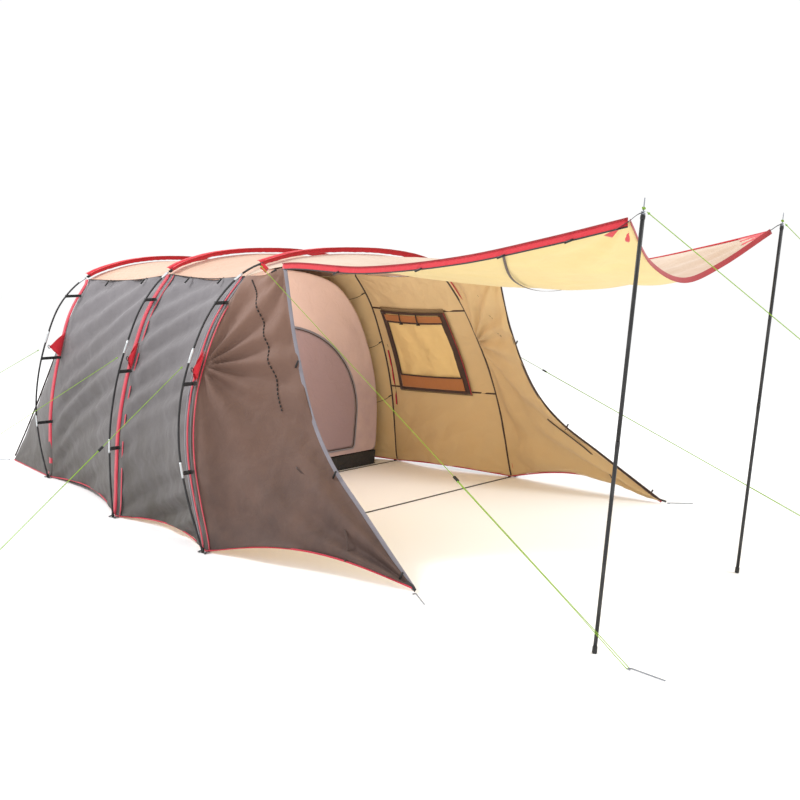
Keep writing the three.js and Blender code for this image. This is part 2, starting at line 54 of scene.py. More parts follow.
# Arches: place along the tunnel, half width, height, backward lean, how far the sides are pushed out
# high up and half way up, and how far the cloth hangs clear of the middle of each leg.
FRONT = dict(y=0.0, width=1.612, height=1.905, lean=0.280, shoulder=-0.015, belly=0.0, off=0.065)
MIDDLE = dict(y=1.240, width=1.502, height=1.916, lean=0.0, shoulder=0.0, belly=-0.045, off=0.065)
REAR = dict(y=2.910, width=1.124, height=1.866, lean=-0.300, shoulder=0.088, belly=0.11, off=0.110)
ARCHES = {"front": FRONT, "middle": MIDDLE, "rear": REAR}
CLOTH_INSET = 0.026
HEM = 0.005
REAR_CORNER = (0.940, 3.900)
WING_TOP = (1.078, -0.215, 1.788)
NEAR_TIP = Vector((-1.280, -1.500, 0.015))
FAR_TIP = Vector((1.550, -1.440, 0.015))
NEAR_POST = (Vector((-1.380, -2.730, 0.0)), Vector((-1.340, -2.900, 2.0)))
FAR_POST = (Vector((0.260, -2.650, 0.0)), Vector((0.350, -2.790, 2.0)))
CORNER_REACH = Vector((0.0, 0.062, -0.028))
CLOTH = 0.0016
POLE = 0.007
TAB_HEIGHT = 1.15

# Guy lines: what each is tied to, the height there, its peg and the slider's share of the way.
GUYS = {
    "near_rear_guy": (REAR, -1, 1.120, (-2.640, 4.060), 0.42),
    "near_middle_guy": (MIDDLE, -1, 1.150, (-2.300, 2.990), 0.62),
    "near_front_guy": (FRONT, -1, 1.160, (-2.740, 0.660), 0.42),
    "near_crest_guy": ("wing", -1, 0.44, (-1.430, -2.940), 0.62),
    "far_front_guy": (FRONT, 1, 1.160, (1.740, -2.500), 0.2),
    "near_upright_guy": (NEAR_POST, -1, 2.0, (0.836, -4.500), 0.3),
    "far_upright_guy": (FAR_POST, 1, 2.0, (1.557, -4.400), 0.3),
}
GUY_REACH = 0.040
POST_FIXING = Vector((0.007, -0.014, 0.012))
WING_FIXING = Vector((-0.050, 0.0, 0.034))
PEG_HEIGHT = 0.004
CORD_DIAMETER = 0.004


# ---------------------------------------------------------------- materials
def srgb(red, green, blue):
    def linear(value):
        value /= 255
        return value / 12.92 if value <= 0.04045 else ((value + 0.055) / 1.055) ** 2.4

    return (linear(red), linear(green), linear(blue), 1.0)


def new_material(name, color, roughness, metallic=0.0):
    material = bpy.data.materials.new(name)
    material.use_nodes = True
    shader = material.node_tree.nodes["Principled BSDF"]
    shader.inputs["Base Color"].default_value = color
    shader.inputs["Roughness"].default_value = roughness
    shader.inputs["Metallic"].default_value = metallic
    return material, shader


class Nodes:
    """Short calls for adding and linking shader nodes."""

    def __init__(self, material):
        self.tree = material.node_tree
        self.place = self.add("ShaderNodeTexCoord").outputs["Object"]

    def add(self, kind, **values):
        node = self.tree.nodes.new(kind)
        for key, value in values.items():
            if hasattr(node, key):
                setattr(node, key, value)
            else:
                node.inputs[key.replace("_", " ")].default_value = value
        return node

    def link(self, source, target):
        self.tree.links.new(source, target)

    def texture(self, kind, scale, stretch=(1, 1, 1), **values):
        mapping = self.add("ShaderNodeMapping")
        mapping.inputs["Scale"].default_value = stretch
        self.link(self.place, mapping.inputs["Vector"])
        node = self.add(kind, Scale=scale, **values)
        self.link(mapping.outputs["Vector"], node.inputs["Vector"])
        return node

    def mix(self, share, first, second):
        node = self.add("ShaderNodeMix", data_type="RGBA")
        for value, socket in ((share, 0), (first, 6), (second, 7)):
            if hasattr(value, "links"):
                self.link(value, node.inputs[socket])
            else:
                node.inputs[socket].default_value = value
        return node.outputs[2]

    def bump(self, height, strength, distance, before=None):
        node = self.add("ShaderNodeBump", Strength=strength, Distance=distance)
        self.link(height, node.inputs["Height"])
        if before:
            self.link(before, node.inputs["Normal"])
        return node.outputs["Normal"]


def ranged(nodes, value, low, high):
    node = nodes.add("ShaderNodeMapRange")
    node.inputs["From Min"].default_value = low
    node.inputs["From Max"].default_value = high
    nodes.link(value, node.inputs["Value"])
    return node.outputs["Result"]


def cloth_material(name, color, low_color=None, rise=(0.1, 1.6), weave=520, crumple=0.5, sheen=0.25,
                   rough=0.72):
    """Coated woven cloth: a colour that drifts with height, faint blotches, weave and small creases."""
    material, shader = new_material(name, color, rough)
    nodes = Nodes(material)
    base = color
    # Where low_color is given the cloth turns darker toward the bottom; on the wings this is painted shade,
    # and on the inner tent it is painted light high up and painted shade low down.
    if low_color:
        height = nodes.add("ShaderNodeSeparateXYZ")
        nodes.link(nodes.place, height.inputs[0])
        drift = nodes.texture("ShaderNodeTexNoise", 1.6, Detail=3.0)
        add = nodes.add("ShaderNodeMath", operation="MULTIPLY_ADD")
        nodes.link(drift.outputs["Fac"], add.inputs[0])
        add.inputs[1].default_value = 0.5
        nodes.link(height.outputs["Z"], add.inputs[2])
        base = nodes.mix(ranged(nodes, add.outputs[0], rise[0] + 0.25, rise[1] + 0.25), low_color, color)
    blotch = nodes.texture("ShaderNodeTexNoise", 5.0, Detail=5.0, Roughness=0.6)
    dark = tuple(c * 0.82 for c in color[:3]) + (1.0,)
    shade = ranged(nodes, blotch.outputs["Fac"], 0.25, 1.35)
    tinted = nodes.mix(shade, base, dark)
    threads_up = nodes.texture("ShaderNodeTexWave", weave, wave_type="BANDS", bands_direction="Z",
                               Distortion=0.4)
    threads_across = nodes.texture("ShaderNodeTexWave", weave, wave_type="BANDS", bands_direction="Y",
                                   Distortion=0.4)
    threads = nodes.add("ShaderNodeMath", operation="MAXIMUM")
    nodes.link(threads_up.outputs["Fac"], threads.inputs[0])
    nodes.link(threads_across.outputs["Fac"], threads.inputs[1])
    nodes.link(tinted, shader.inputs["Base Color"])
    creases = nodes.texture("ShaderNodeTexNoise", 9.0, Detail=6.0, Roughness=0.55, Distortion=0.8)
    soft = nodes.bump(creases.outputs["Fac"], crumple, 0.02)
    fine = nodes.bump(threads.outputs[0], 0.25, 0.0004, soft)
    nodes.link(fine, shader.inputs["Normal"])
    shader.inputs["Sheen Weight"].default_value = sheen
    shader.inputs["Sheen Roughness"].default_value = 0.5
    return material


def webbing_material(name, color, ribs=700):
    """Woven tape: close ribs across it, slightly worn lighter in places."""
    material, shader = new_material(name, color, 0.7)
    nodes = Nodes(material)
    rib = nodes.texture("ShaderNodeTexWave", ribs, wave_type="BANDS", bands_direction="DIAGONAL",
                        Distortion=0.3)
    worn = nodes.texture("ShaderNodeTexNoise", 14.0, Detail=4.0)
    light = tuple(min(1.0, c * 1.35 + 0.01) for c in color[:3]) + (1.0,)
    faded = nodes.mix(ranged(nodes, worn.outputs["Fac"], 0.45, 1.2), color, light)
    nodes.link(faded, shader.inputs["Base Color"])
    nodes.link(nodes.bump(rib.outputs["Fac"], 0.35, 0.0005), shader.inputs["Normal"])
    shader.inputs["Sheen Weight"].default_value = 0.2
    return material


def metal_material(name, color, roughness, metallic, scratch=0.12):
    """Painted or bare metal with fine lengthwise scratches and uneven gloss."""
    material, shader = new_material(name, color, roughness, metallic)
    nodes = Nodes(material)
    grain = nodes.texture("ShaderNodeTexNoise", 60.0, (6, 6, 0.4), Detail=6.0)
    nodes.link(ranged(nodes, grain.outputs["Fac"], -1.6, 2.6), shader.inputs["Roughness"])
    worn = nodes.texture("ShaderNodeTexNoise", 22.0, (2, 2, 0.5), Detail=5.0)
    light = tuple(min(1.0, c + 0.05) for c in color[:3]) + (1.0,)
    scratched = nodes.mix(ranged(nodes, worn.outputs["Fac"], 0.5, 0.9), color, light)
    nodes.link(scratched, shader.inputs["Base Color"])
    nodes.link(nodes.bump(grain.outputs["Fac"], scratch, 0.0004), shader.inputs["Normal"])
    return material


def plastic_material(name, color, roughness=0.45):
    material, shader = new_material(name, color, roughness)
    nodes = Nodes(material)
    grain = nodes.texture("ShaderNodeTexNoise", 420.0, Detail=3.0)
    wear = nodes.texture("ShaderNodeTexNoise", 35.0, Detail=3.0)
    light = tuple(min(1.0, c * 1.5 + 0.01) for c in color[:3]) + (1.0,)
    scuffed = nodes.mix(ranged(nodes, wear.outputs["Fac"], 0.5, 1.1), color, light)
    nodes.link(scuffed, shader.inputs["Base Color"])
    nodes.link(nodes.bump(grain.outputs["Fac"], 0.2, 0.0002), shader.inputs["Normal"])
    return material


def cord_material(name, color):
    """Braided cord: slanted strands with a darker fleck."""
    material, shader = new_material(name, color, 0.6)
    nodes = Nodes(material)
    braid = nodes.texture("ShaderNodeTexWave", 260.0, wave_type="BANDS", bands_direction="DIAGONAL",
                          Distortion=1.5)
    dark = tuple(c * 0.6 for c in color[:3]) + (1.0,)
    plaited = nodes.mix(ranged(nodes, braid.outputs["Fac"], 0.2, 2.2), color, dark)
    nodes.link(plaited, shader.inputs["Base Color"])
    nodes.link(nodes.bump(braid.outputs["Fac"], 0.5, 0.0005), shader.inputs["Normal"])
    return material


def mesh_material(name, color):
    """Insect mesh: a fine net whose holes read darker than its threads."""
    material, shader = new_material(name, color, 0.8)
    nodes = Nodes(material)
    up = nodes.texture("ShaderNodeTexWave", 190.0, wave_type="BANDS", bands_direction="Z")
    across = nodes.texture("ShaderNodeTexWave", 190.0, wave_type="BANDS", bands_direction="Y")
    net = nodes.add("ShaderNodeMath", operation="MULTIPLY")
    nodes.link(up.outputs["Fac"], net.inputs[0])
    nodes.link(across.outputs["Fac"], net.inputs[1])
    dark = tuple(c * 0.45 for c in color[:3]) + (1.0,)
    nodes.link(nodes.mix(net.outputs[0], color, dark), shader.inputs["Base Color"])
    nodes.link(nodes.bump(net.outputs[0], 0.5, 0.0008), shader.inputs["Normal"])
    return material


WALL = cloth_material("wall_outside", srgb(122, 118, 122), srgb(64, 58, 47), (0.0, 1.85),
                      crumple=0.3, sheen=0.08)
# The wing's darker, browner colour low down is painted shade, where its folds face the ground.
WING = cloth_material("wing_outside", srgb(136, 102, 86), srgb(66, 50, 46), (0.1, 1.8),
                      crumple=0.35, sheen=0.08)
INSIDE = cloth_material("cloth_inside", srgb(226, 198, 150), srgb(206, 174, 124), (0.2, 1.5),
                        crumple=0.3, sheen=0.1)
ROOF = cloth_material("roof_outside", srgb(206, 170, 146), crumple=0.4, sheen=0.1)
# The awning's underside is partly the cloth's own colour, raised brighter and yellower as painted light that
# stands in for daylight shining through the cloth.
AWNING_UNDER = cloth_material("awning_underside", srgb(236, 212, 148), crumple=0.3, sheen=0.1)
AWNING_TOP = cloth_material("awning_top", srgb(212, 188, 164), srgb(190, 160, 134), (1.72, 1.95), crumple=0.6)
RED = cloth_material("red_cloth", srgb(212, 24, 44), crumple=0.35, weave=640)
RED_TAPE = webbing_material("red_tape", srgb(190, 34, 58))
DARK_RED = webbing_material("dark_red_binding", srgb(150, 14, 22))
# The inner tent's lighter colour high up is painted light from daylight through the roof, and its darker
# colour low down is painted shade.
INNER = cloth_material("inner_cloth", srgb(238, 208, 194), srgb(172, 148, 152), (0.6, 1.85),
                       crumple=0.35, sheen=0.1)
INNER_DOOR = cloth_material("inner_door_cloth", srgb(166, 140, 142), srgb(148, 124, 128), (0.3, 1.3),
                            crumple=0.4)
FLOOR_CLOTH = cloth_material("floor_cloth", srgb(26, 26, 28), crumple=0.7, rough=0.5, sheen=0.05)
CURTAIN = cloth_material("curtain_cloth", srgb(238, 206, 142), crumple=0.35, sheen=0.1)
STRIP = cloth_material("curtain_strip", srgb(176, 112, 62), crumple=0.4)
BROWN = webbing_material("brown_binding", srgb(62, 40, 30))
BLACK_TAPE = webbing_material("black_webbing", srgb(24, 23, 24))
GREY_TAPE = webbing_material("grey_edge_tape", srgb(128, 124, 132))
NET = mesh_material("window_net", srgb(150, 126, 92))
BLACK_TUBE = metal_material("black_tube", srgb(26, 26, 28), 0.35, 0.0)
STEEL = metal_material("bright_steel", srgb(150, 154, 162), 0.3, 0.95)
FERRULE = metal_material("ferrule_steel", srgb(205, 208, 210), 0.25, 0.9)
BLACK_PLASTIC = plastic_material("black_plastic", srgb(20, 20, 21))
LIME = cord_material("lime_cord", srgb(134, 176, 16))
GREEN = cord_material("green_cord", srgb(142, 190, 70))
ELASTIC = cord_material("elastic_cord", srgb(40, 36, 34))


# ---------------------------------------------------------------- shape helpers
LEG = [(1, 0), (1.03, 0.18), (1.035, 0.34), (1, 0.5), (0.93, 0.645), (0.82, 0.795), (0.65, 0.915)]
CREST = [(0.44, 0.97), (0.22, 0.994)]
HALF = LEG + CREST
NEAR_HALF = [Vector((-x, 0, z)) for x, z in HALF]
FAR_HALF = [Vector((x, 0, z)) for x, z in HALF[::-1]]
PROFILE = NEAR_HALF + [Vector((0, 0, 1))] + FAR_HALF
LEG_SHARE = (len(LEG) - 1) / (len(PROFILE) - 1)
UP = Vector((0, 0, 1))
ALONG = Vector((0, 1, 0))


def lerp(a, b, share):
    return a + (b - a) * share


def smooth(low, high, value):
    share = min(max((value - low) / (high - low), 0.0), 1.0)
    return share * share * (3 - 2 * share)


def curve_point(points, t):
    """Centripetal Catmull-Rom through the points, with t from 0 to 1 spread evenly over them."""
    last = len(points) - 1
    place = last * min(max(t, 0.0), 1.0)
    i = min(int(place), last - 1)
    w = place - i
    p1, p2 = points[i], points[i + 1]
    p0 = points[i - 1] if i else p1 * 2 - p2
    p3 = points[i + 2] if i + 2 <= last else p2 * 2 - p1
    d0, d1, d2 = (math.sqrt((b - a).length) for a, b in ((p0, p1), (p1, p2), (p2, p3)))
    t1 = ((p1 - p0) / d0 - (p2 - p0) / (d0 + d1) + (p2 - p1) / d1) * d1
    t2 = ((p2 - p1) / d1 - (p3 - p1) / (d1 + d2) + (p3 - p2) / d2) * d1
    square = -3 * p1 + 3 * p2 - 2 * t1 - t2
    cube = 2 * p1 - 2 * p2 + t1 + t2
    return p1 + t1 * w + square * w * w + cube * w**3


def arch_point(arch, t, inset=0.0, lift=0.0):
    p = curve_point(PROFILE, t)
    rise = max(p.z, 0.0)
    outward = arch["shoulder"] * math.sin(math.pi * rise**4) + arch["belly"] * math.sin(math.pi * rise)
    x = p.x + math.copysign(1, p.x) * outward
    y = arch["y"] + arch["lean"] * math.sin(rise * math.pi / 2)
    z = (arch["height"] - inset) * p.z + lift * (1 - p.z)
    return Vector(((arch["width"] - inset) * x, y, z))


def cloth_point(arch, t, depth=0.0, lift=0.0):
    """The fly's line inside an arch: clear of the pole along the legs, close to it at foot and crest."""
    leg = min(max(min(t, 1 - t) / LEG_SHARE, 0.0), 1.0)
    off = arch["off"] * (4 * leg * (1 - leg)) ** 0.6
    return arch_point(arch, t, CLOTH_INSET + off + depth, lift)


def arch_out(arch, t):
    """The direction out of the tunnel at a point of an arch."""
    ahead = arch_point(arch, min(t + 0.004, 1.0))
    behind = arch_point(arch, max(t - 0.004, 0.0))
    return (ahead - behind).cross(ALONG).normalized() * -1


def height_parameter(arch, height, side, place=arch_point):
    """The profile parameter at a height on the near (-1) or far (1) leg, of its pole or its cloth line."""
    low, high = 0.0, 0.5
    for _ in range(40):
        middle = (low + high) / 2
        if place(arch, middle).z < height:
            low = middle
        else:
            high = middle
    return low if side < 0 else 1 - low


def crumple(p, size, scale=2.0, seed=0.0):
    """Soft folds with a few sharper creases."""
    q = p * scale + Vector((seed, seed * 0.7, -seed))
    soft = noise.fractal(q, 0.9, 2.1, 4)
    crease = 0.35 - abs(noise.noise(q * 1.9 + Vector((9, 3, 5))))
    return size * (0.6 * soft + 0.9 * crease)


def fan(p, anchor, first, second, count, size, reach):
    """Folds that fan out from a point where the cloth is pulled."""
    away = p - anchor
    distance = away.length
    if distance < 1e-4:
        return 0.0
    angle = math.atan2(away.dot(second), away.dot(first))
    wander = 1.6 * noise.noise(p * 1.7 + anchor)
    return size * math.sin(angle * count + wander) * math.exp(-distance / reach) * smooth(0.0, 0.12, distance)


def add_mesh(name, verts, faces, materials, body="root", smooth_faces=True):
    data = bpy.data.meshes.new(name)
    data.from_pydata([tuple(v) for v in verts], [], faces)
    for material in materials:
        data.materials.append(material)
    if smooth_faces:
        data.polygons.foreach_set("use_smooth", [True] * len(data.polygons))
    data.validate()
    data.update()
    piece = bpy.data.objects.new(name, data)
    bpy.context.collection.objects.link(piece)
    if body:
        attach(piece, body)
    return piece


def cloth_sheet(name, point, across, along, outside, inside=None, relief=None, outward=None,
                body="root", thickness=CLOTH, keep=None):
    """A curved sheet of cloth with its own outside and inside. relief moves it along its own normal."""
    rows = [[point(i / across, j / along) for i in range(across + 1)] for j in range(along + 1)]
    middle_u = rows[along // 2][across // 2 + 1] - rows[along // 2][across // 2]
    middle_v = rows[along // 2 + 1][across // 2] - rows[along // 2][across // 2]
    facing = middle_u.cross(middle_v)
    sign = 1.0
    if outward is not None and facing.dot(outward) < 0:
        sign = -1.0
    verts = []
    for j in range(along + 1):
        for i in range(across + 1):
            p = rows[j][i]
            if relief:
                du = rows[j][min(i + 1, across)] - rows[j][max(i - 1, 0)]
                dv = rows[min(j + 1, along)][i] - rows[max(j - 1, 0)][i]
                normal = du.cross(dv).normalized() * sign
                p = p + normal * relief(i / across, j / along, p)
            verts.append(Vector((p.x, p.y, max(p.z, 0.0012))))
    faces = []
    for j in range(along):
        for i in range(across):
            if keep and not keep((i + 0.5) / across, (j + 0.5) / along, rows[j][i]):
                continue
            a = j * (across + 1) + i
            quad = (a, a + 1, a + across + 2, a + across + 1)
            faces.append(quad if sign > 0 else quad[::-1])
    piece = add_mesh(name, verts, faces, [outside, inside or outside], body)
    if keep:
        drop_loose(piece)
    skin = piece.modifiers.new("thickness", "SOLIDIFY")
    skin.thickness = thickness
    skin.offset = -1.0
    skin.material_offset = 1
    skin.material_offset_rim = 0
    return piece


def drop_loose(piece):
    work = bmesh.new()
    work.from_mesh(piece.data)
    loose = [v for v in work.verts if not v.link_faces]
    bmesh.ops.delete(work, geom=loose, context="VERTS")
    work.to_mesh(piece.data)
    work.free()


def spine_frames(points):
    """Tangent, side and up at each point, turning as little as they can along the way."""
    frames = []
    side = None
    for i, _ in enumerate(points):
        tangent = (points[min(i + 1, len(points) - 1)] - points[max(i - 1, 0)]).normalized()
        if side is None:
            guide = UP if abs(tangent.z) < 0.9 else ALONG
            side = tangent.cross(guide).normalized()
        side = (side - tangent * side.dot(tangent)).normalized()
        frames.append((tangent, side, tangent.cross(side)))
    return frames


def tube_parts(points, radius, sides=12, offset=0):
    """Vertices and faces of a round bar along the points. radius is a number or one for each point."""
    frames = spine_frames(points)
    radii = radius if isinstance(radius, list) else [radius] * len(points)
    verts, faces = [], []
    for p, size, (_, side, up) in zip(points, radii, frames):
        for k in range(sides):
            angle = 2 * math.pi * k / sides
            verts.append(p + side * (size * math.cos(angle)) + up * (size * math.sin(angle)))
    for j in range(len(points) - 1):
        for k in range(sides):
            a, b = j * sides + k, j * sides + (k + 1) % sides
            faces.append((a + offset, b + offset, b + sides + offset, a + sides + offset))
    faces.append(tuple(offset + k for k in range(sides))[::-1])
    faces.append(tuple(offset + (len(points) - 1) * sides + k for k in range(sides)))
    return verts, faces


def tube(name, points, radius, material, sides=12, body="root"):
    verts, faces = tube_parts(points, radius, sides)
    return add_mesh(name, verts, faces, [material], body)


def tubes(name, paths, radius, material, sides=8, body="root"):
    """Several round bars as one piece of the same kind, such as a row of toggles."""
    verts, faces = [], []
    for points in paths:
        more_verts, more_faces = tube_parts(points, radius, sides, len(verts))
        verts += more_verts
        faces += more_faces
    return add_mesh(name, verts, faces, [material], body)


def band_parts(points, outs, width, thickness, offset=0, shift=0.0):
    """Vertices and faces of a flat tape: outs are the directions that its face looks."""
    verts, faces = [], []
    last = len(points) - 1
    for i, (p, out) in enumerate(zip(points, outs)):
        tangent = (points[min(i + 1, last)] - points[max(i - 1, 0)]).normalized()
        side = tangent.cross(out).normalized()
        flat = side.cross(tangent).normalized()
        middle = p + side * shift
        edge = thickness * 0.35
        section = [(-0.5, 0.0), (-0.5, edge), (-0.44, thickness), (-0.15, thickness * 0.9),
                   (0.15, thickness * 0.9), (0.44, thickness), (0.5, edge), (0.5, 0.0)]
        for across, height in section:
            verts.append(middle + side * (across * width) + flat * height)
    count = 8
    for j in range(last):
        for k in range(count):
            a, b = j * count + k, j * count + (k + 1) % count
            faces.append((a + offset, b + offset, b + count + offset, a + count + offset))
    faces.append(tuple(offset + k for k in range(count))[::-1])
    faces.append(tuple(offset + last * count + k for k in range(count)))
    return verts, faces


def fix_normals(piece):
    work = bmesh.new()
    work.from_mesh(piece.data)
    bmesh.ops.recalc_face_normals(work, faces=work.faces)
    work.to_mesh(piece.data)
    work.free()


def band(name, points, outs, width, thickness, material, body="root", shift=0.0):
    if isinstance(outs, Vector):
        outs = [outs] * len(points)
    verts, faces = band_parts(points, outs, width, thickness, 0, shift)
    piece = add_mesh(name, verts, faces, [material], body)
    fix_normals(piece)
    return piece


def bands(name, strips, width, thickness, material, body="root"):
    """Several short tapes as one piece: strips are (points, out)."""
    verts, faces = [], []
    for points, out in strips:
        outs = out if isinstance(out, list) else [out] * len(points)
        more_verts, more_faces = band_parts(points, outs, width, thickness, len(verts))
        verts += more_verts
        faces += more_faces
    piece = add_mesh(name, verts, faces, [material], body)
    fix_normals(piece)
    return piece


def along_path(point, count):
    return [point(i / count) for i in range(count + 1)]


def dress(node, material):
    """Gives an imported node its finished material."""
    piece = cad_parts[node]
    piece.data.materials.clear()
    piece.data.materials.append(material)
    return piece


# ---------------------------------------------------------------- camera and cords
def add_camera():
    yaw, pitch, roll = math.radians(46.6), math.radians(-7.4), math.radians(-0.2)
    forward = Vector((math.sin(yaw) * math.cos(pitch), math.cos(yaw) * math.cos(pitch), math.sin(pitch)))
    right = Vector((math.cos(yaw), -math.sin(yaw), 0.0))
    up = right.cross(forward)
    turned = right * math.cos(roll) + up * math.sin(roll)
    upright = up * math.cos(roll) - right * math.sin(roll)
    turn = Matrix((turned, upright, -forward)).transposed()
    data = bpy.data.cameras.new("camera")
    data.lens = 46.05
    data.sensor_width = 36.0
    data.clip_start = 0.05
    data.clip_end = 200.0
    camera = bpy.data.objects.new("camera", data)
    camera.location = (-5.31, -5.21, 1.78)
    camera.rotation_mode = "QUATERNION"
    camera.rotation_quaternion = turn.to_quaternion()
    bpy.context.collection.objects.link(camera)
    bpy.context.scene.camera = camera


def knot(name, centre, axis, size, material, body="root"):
    """A stopper knot: one thick turn of cord wound through itself."""
    side = axis.cross(UP).normalized()
    up = axis.cross(side)
    points = []
    for i in range(41):
        angle = 2 * math.pi * i / 40
        wide = 1.0 + 0.45 * math.cos(1.5 * angle * 2)
        around = side * (math.cos(2 * angle) * wide) + up * (math.sin(2 * angle) * wide)
        points.append(centre + (around + axis * (0.9 * math.sin(3 * angle))) * size)
    return tube(name, points, CORD_DIAMETER / 2, material, 8, body)


def guy_start(holder, side, height):
    if holder == "wing":
        border = cloth_point(FRONT, LEG_SHARE)
        return lerp(Vector((side * WING_TOP[0], WING_TOP[1], WING_TOP[2])), border, height) + WING_FIXING
    if isinstance(holder, tuple):
        return holder[1] + POST_FIXING
    p = arch_point(holder, height_parameter(holder, height, side))
    return p + Vector((side * GUY_REACH, 0, 0))


def add_guy_line(name, start, peg, share):
    end = Vector((peg[0], peg[1], PEG_HEIGHT))
    axis = (end - start).normalized()
    side = axis.cross(UP).normalized()
    length = (end - start).length
    turn = 0.0085
    path = along_path(lambda s: lerp(start, end, s), 6)
    for k in range(1, 18):
        angle = math.pi * k / 18
        path.append(end + axis * (turn * math.sin(angle)) + side * (turn * (1 - math.cos(angle))))
    back = length * (1 - share) - 0.024
    for k in range(9):
        way = (k / 8) ** 2
        apart = lerp(2 * turn, 0.0068, smooth(0.0, 0.3, way))
        path.append(end - axis * (back * way) + side * apart)
    data = bpy.data.curves.new(name + "_line", "CURVE")
    data.dimensions = "3D"
    data.bevel_depth = CORD_DIAMETER / 2
    data.bevel_resolution = 3
    data.use_fill_caps = True
    data.materials.append(LIME)
    spline = data.splines.new("POLY")
    spline.points.add(len(path) - 1)
    for point, place in zip(spline.points, path):
        lifted = max(place.z, CORD_DIAMETER / 2 + 0.0005)
        point.co = (place.x, place.y, lifted, 1.0)
    line = bpy.data.objects.new(name + "_line", data)
    bpy.context.collection.objects.link(line)
    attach(line, "root")
    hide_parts(name + "_cord")
    stopper = knot(name + "_stopper_knot", path[-1] - axis * 0.002, axis, 0.0026, GREEN)
    tie = knot(name + "_end_knot", start + axis * 0.012, axis, 0.003, GREEN)
    slider = dress(name + "_slider", BLACK_PLASTIC)
    peg_node = dress(name + "_peg", STEEL)


add_camera()
for guy, (holder, guy_side, guy_height, peg_place, slider_share) in GUYS.items():
    add_guy_line(guy, guy_start(holder, guy_side, guy_height), peg_place, slider_share)


# ---------------------------------------------------------------- poles, sleeves and tapes
def leg_range(side):
    return (0.0, LEG_SHARE - 0.002) if side < 0 else (1 - LEG_SHARE + 0.002, 1.0)


def pole_line(arch, start, end, count=36):
    return along_path(lambda s: arch_point(arch, lerp(start, end, s), 0.0, 0.002), count)


def add_poles(label, arch):
    for side, word in ((-1, "near"), (1, "far")):
        start, end = leg_range(side)
        line = pole_line(arch, start, end)
        name = f"{label}_arch_{word}_leg"
        pole = tube(name + "_tube", line, POLE, BLACK_TUBE, 20)
        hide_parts(name)
        rings = []
        for height in (0.52, 1.22):
            middle = height_parameter(arch, height, side)
            rings.append(pole_line(arch, middle - 0.009, middle + 0.009, 4))
        rings.append(pole_line(arch, *((end - 0.012, end) if side < 0 else (start, start + 0.012)), 4))
        tubes(name + "_ferrules", rings, POLE + 0.0014, FERRULE, 20)
        foot = line[0] if side < 0 else line[-1]
        tube(name + "_foot_cap", [foot, foot + UP * 0.012, foot + UP * 0.03], [0.0095, 0.010, 0.0085],
             BLACK_PLASTIC, 20)
    crest_line = pole_line(arch, LEG_SHARE, 1 - LEG_SHARE, 60)
    crest = tube(f"{label}_arch_crest_tube", crest_line, POLE, BLACK_TUBE, 16)
    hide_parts(f"{label}_arch_crest")


SLEEVE_SPAN = {
    "front": (0.362, 1 - LEG_SHARE - 0.004),
    "middle": (LEG_SHARE + 0.004, 1 - LEG_SHARE - 0.004),
    "rear": (LEG_SHARE + 0.004, 1 - LEG_SHARE - 0.004),
}


def add_sleeve(label, arch):
    half = 0.046
    low, high = SLEEVE_SPAN[label]

    def point(u, v):
        t = lerp(low, high, u)
        s = (v - 0.5) * 2 * half
        hump = math.exp(-((s / 0.0155) ** 2))
        pucker = 0.0022 * noise.noise(Vector((u * 46, s * 50, arch["y"]))) * (0.4 + hump)
        height = -0.0205 + 0.034 * hump + pucker
        return arch_point(arch, t) + ALONG * s + arch_out(arch, t) * height

    sleeve = cloth_sheet(f"{label}_sleeve_cloth", point, 170, 26, RED, RED, outward=UP, thickness=0.0012)
    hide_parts(f"{label}_crest_sleeve")
    seams = []
    for shift in (-0.8, 0.8):
        for k in range(150):
            t = lerp(low + 0.002, high - 0.002, k / 149)
            step = 0.0011
            ends = []
            for share in (t - step, t + step):
                beside = arch_point(arch, share) + ALONG * (shift * half)
                ends.append(beside + arch_out(arch, share) * -0.0190)
            seams.append(ends)
    tubes(f"{label}_sleeve_stitches", seams, 0.0009, DARK_RED, 5)
    ends = []
    for t in (low - 0.001, high + 0.001):
        loop = []
        out = arch_out(arch, t)
        for k in range(17):
            angle = math.pi * k / 16
            around = ALONG * (math.cos(angle) * 0.0125) + out * (math.sin(angle) * 0.0135)
            loop.append(arch_point(arch, t) + around)
        ends.append((loop, [(p - arch_point(arch, t)).normalized() for p in loop]))
    bands(f"{label}_sleeve_mouths", ends, 0.022, 0.0012, BLACK_TAPE)


def wall_line(arch, side, start, end, shift=0.0, inset=CLOTH_INSET - 0.002, count=60):
    low = height_parameter(arch, start, side)
    high = height_parameter(arch, end, side) if end else (LEG_SHARE if side < 0 else 1 - LEG_SHARE)
    points, outs = [], []
    for k in range(count + 1):
        t = lerp(low, high, k / count)
        points.append(cloth_point(arch, t, inset - CLOTH_INSET, HEM) + ALONG * shift)
        outs.append(arch_out(arch, t))
    return points, outs


def add_leg_tapes(label, arch):
    plans = {
        "rear": [(0.030, 0.050, RED_TAPE)],
        "middle": [(0.034, 0.046, RED_TAPE), (-0.040, 0.016, RED_TAPE), (-0.0515, 0.006, BLACK_TAPE)],
        "front": [(0.036, 0.018, RED_TAPE), (0.062, 0.008, GREY_TAPE), (-0.030, 0.014, RED_TAPE)],
    }
    for side, word in ((-1, "near"), (1, "far")):
        for number, (shift, width, material) in enumerate(plans[label]):
            points, outs = wall_line(arch, side, 0.012, None, shift)
            band(f"{label}_{word}_leg_tape_{number}", points, outs, width, 0.0014, material)


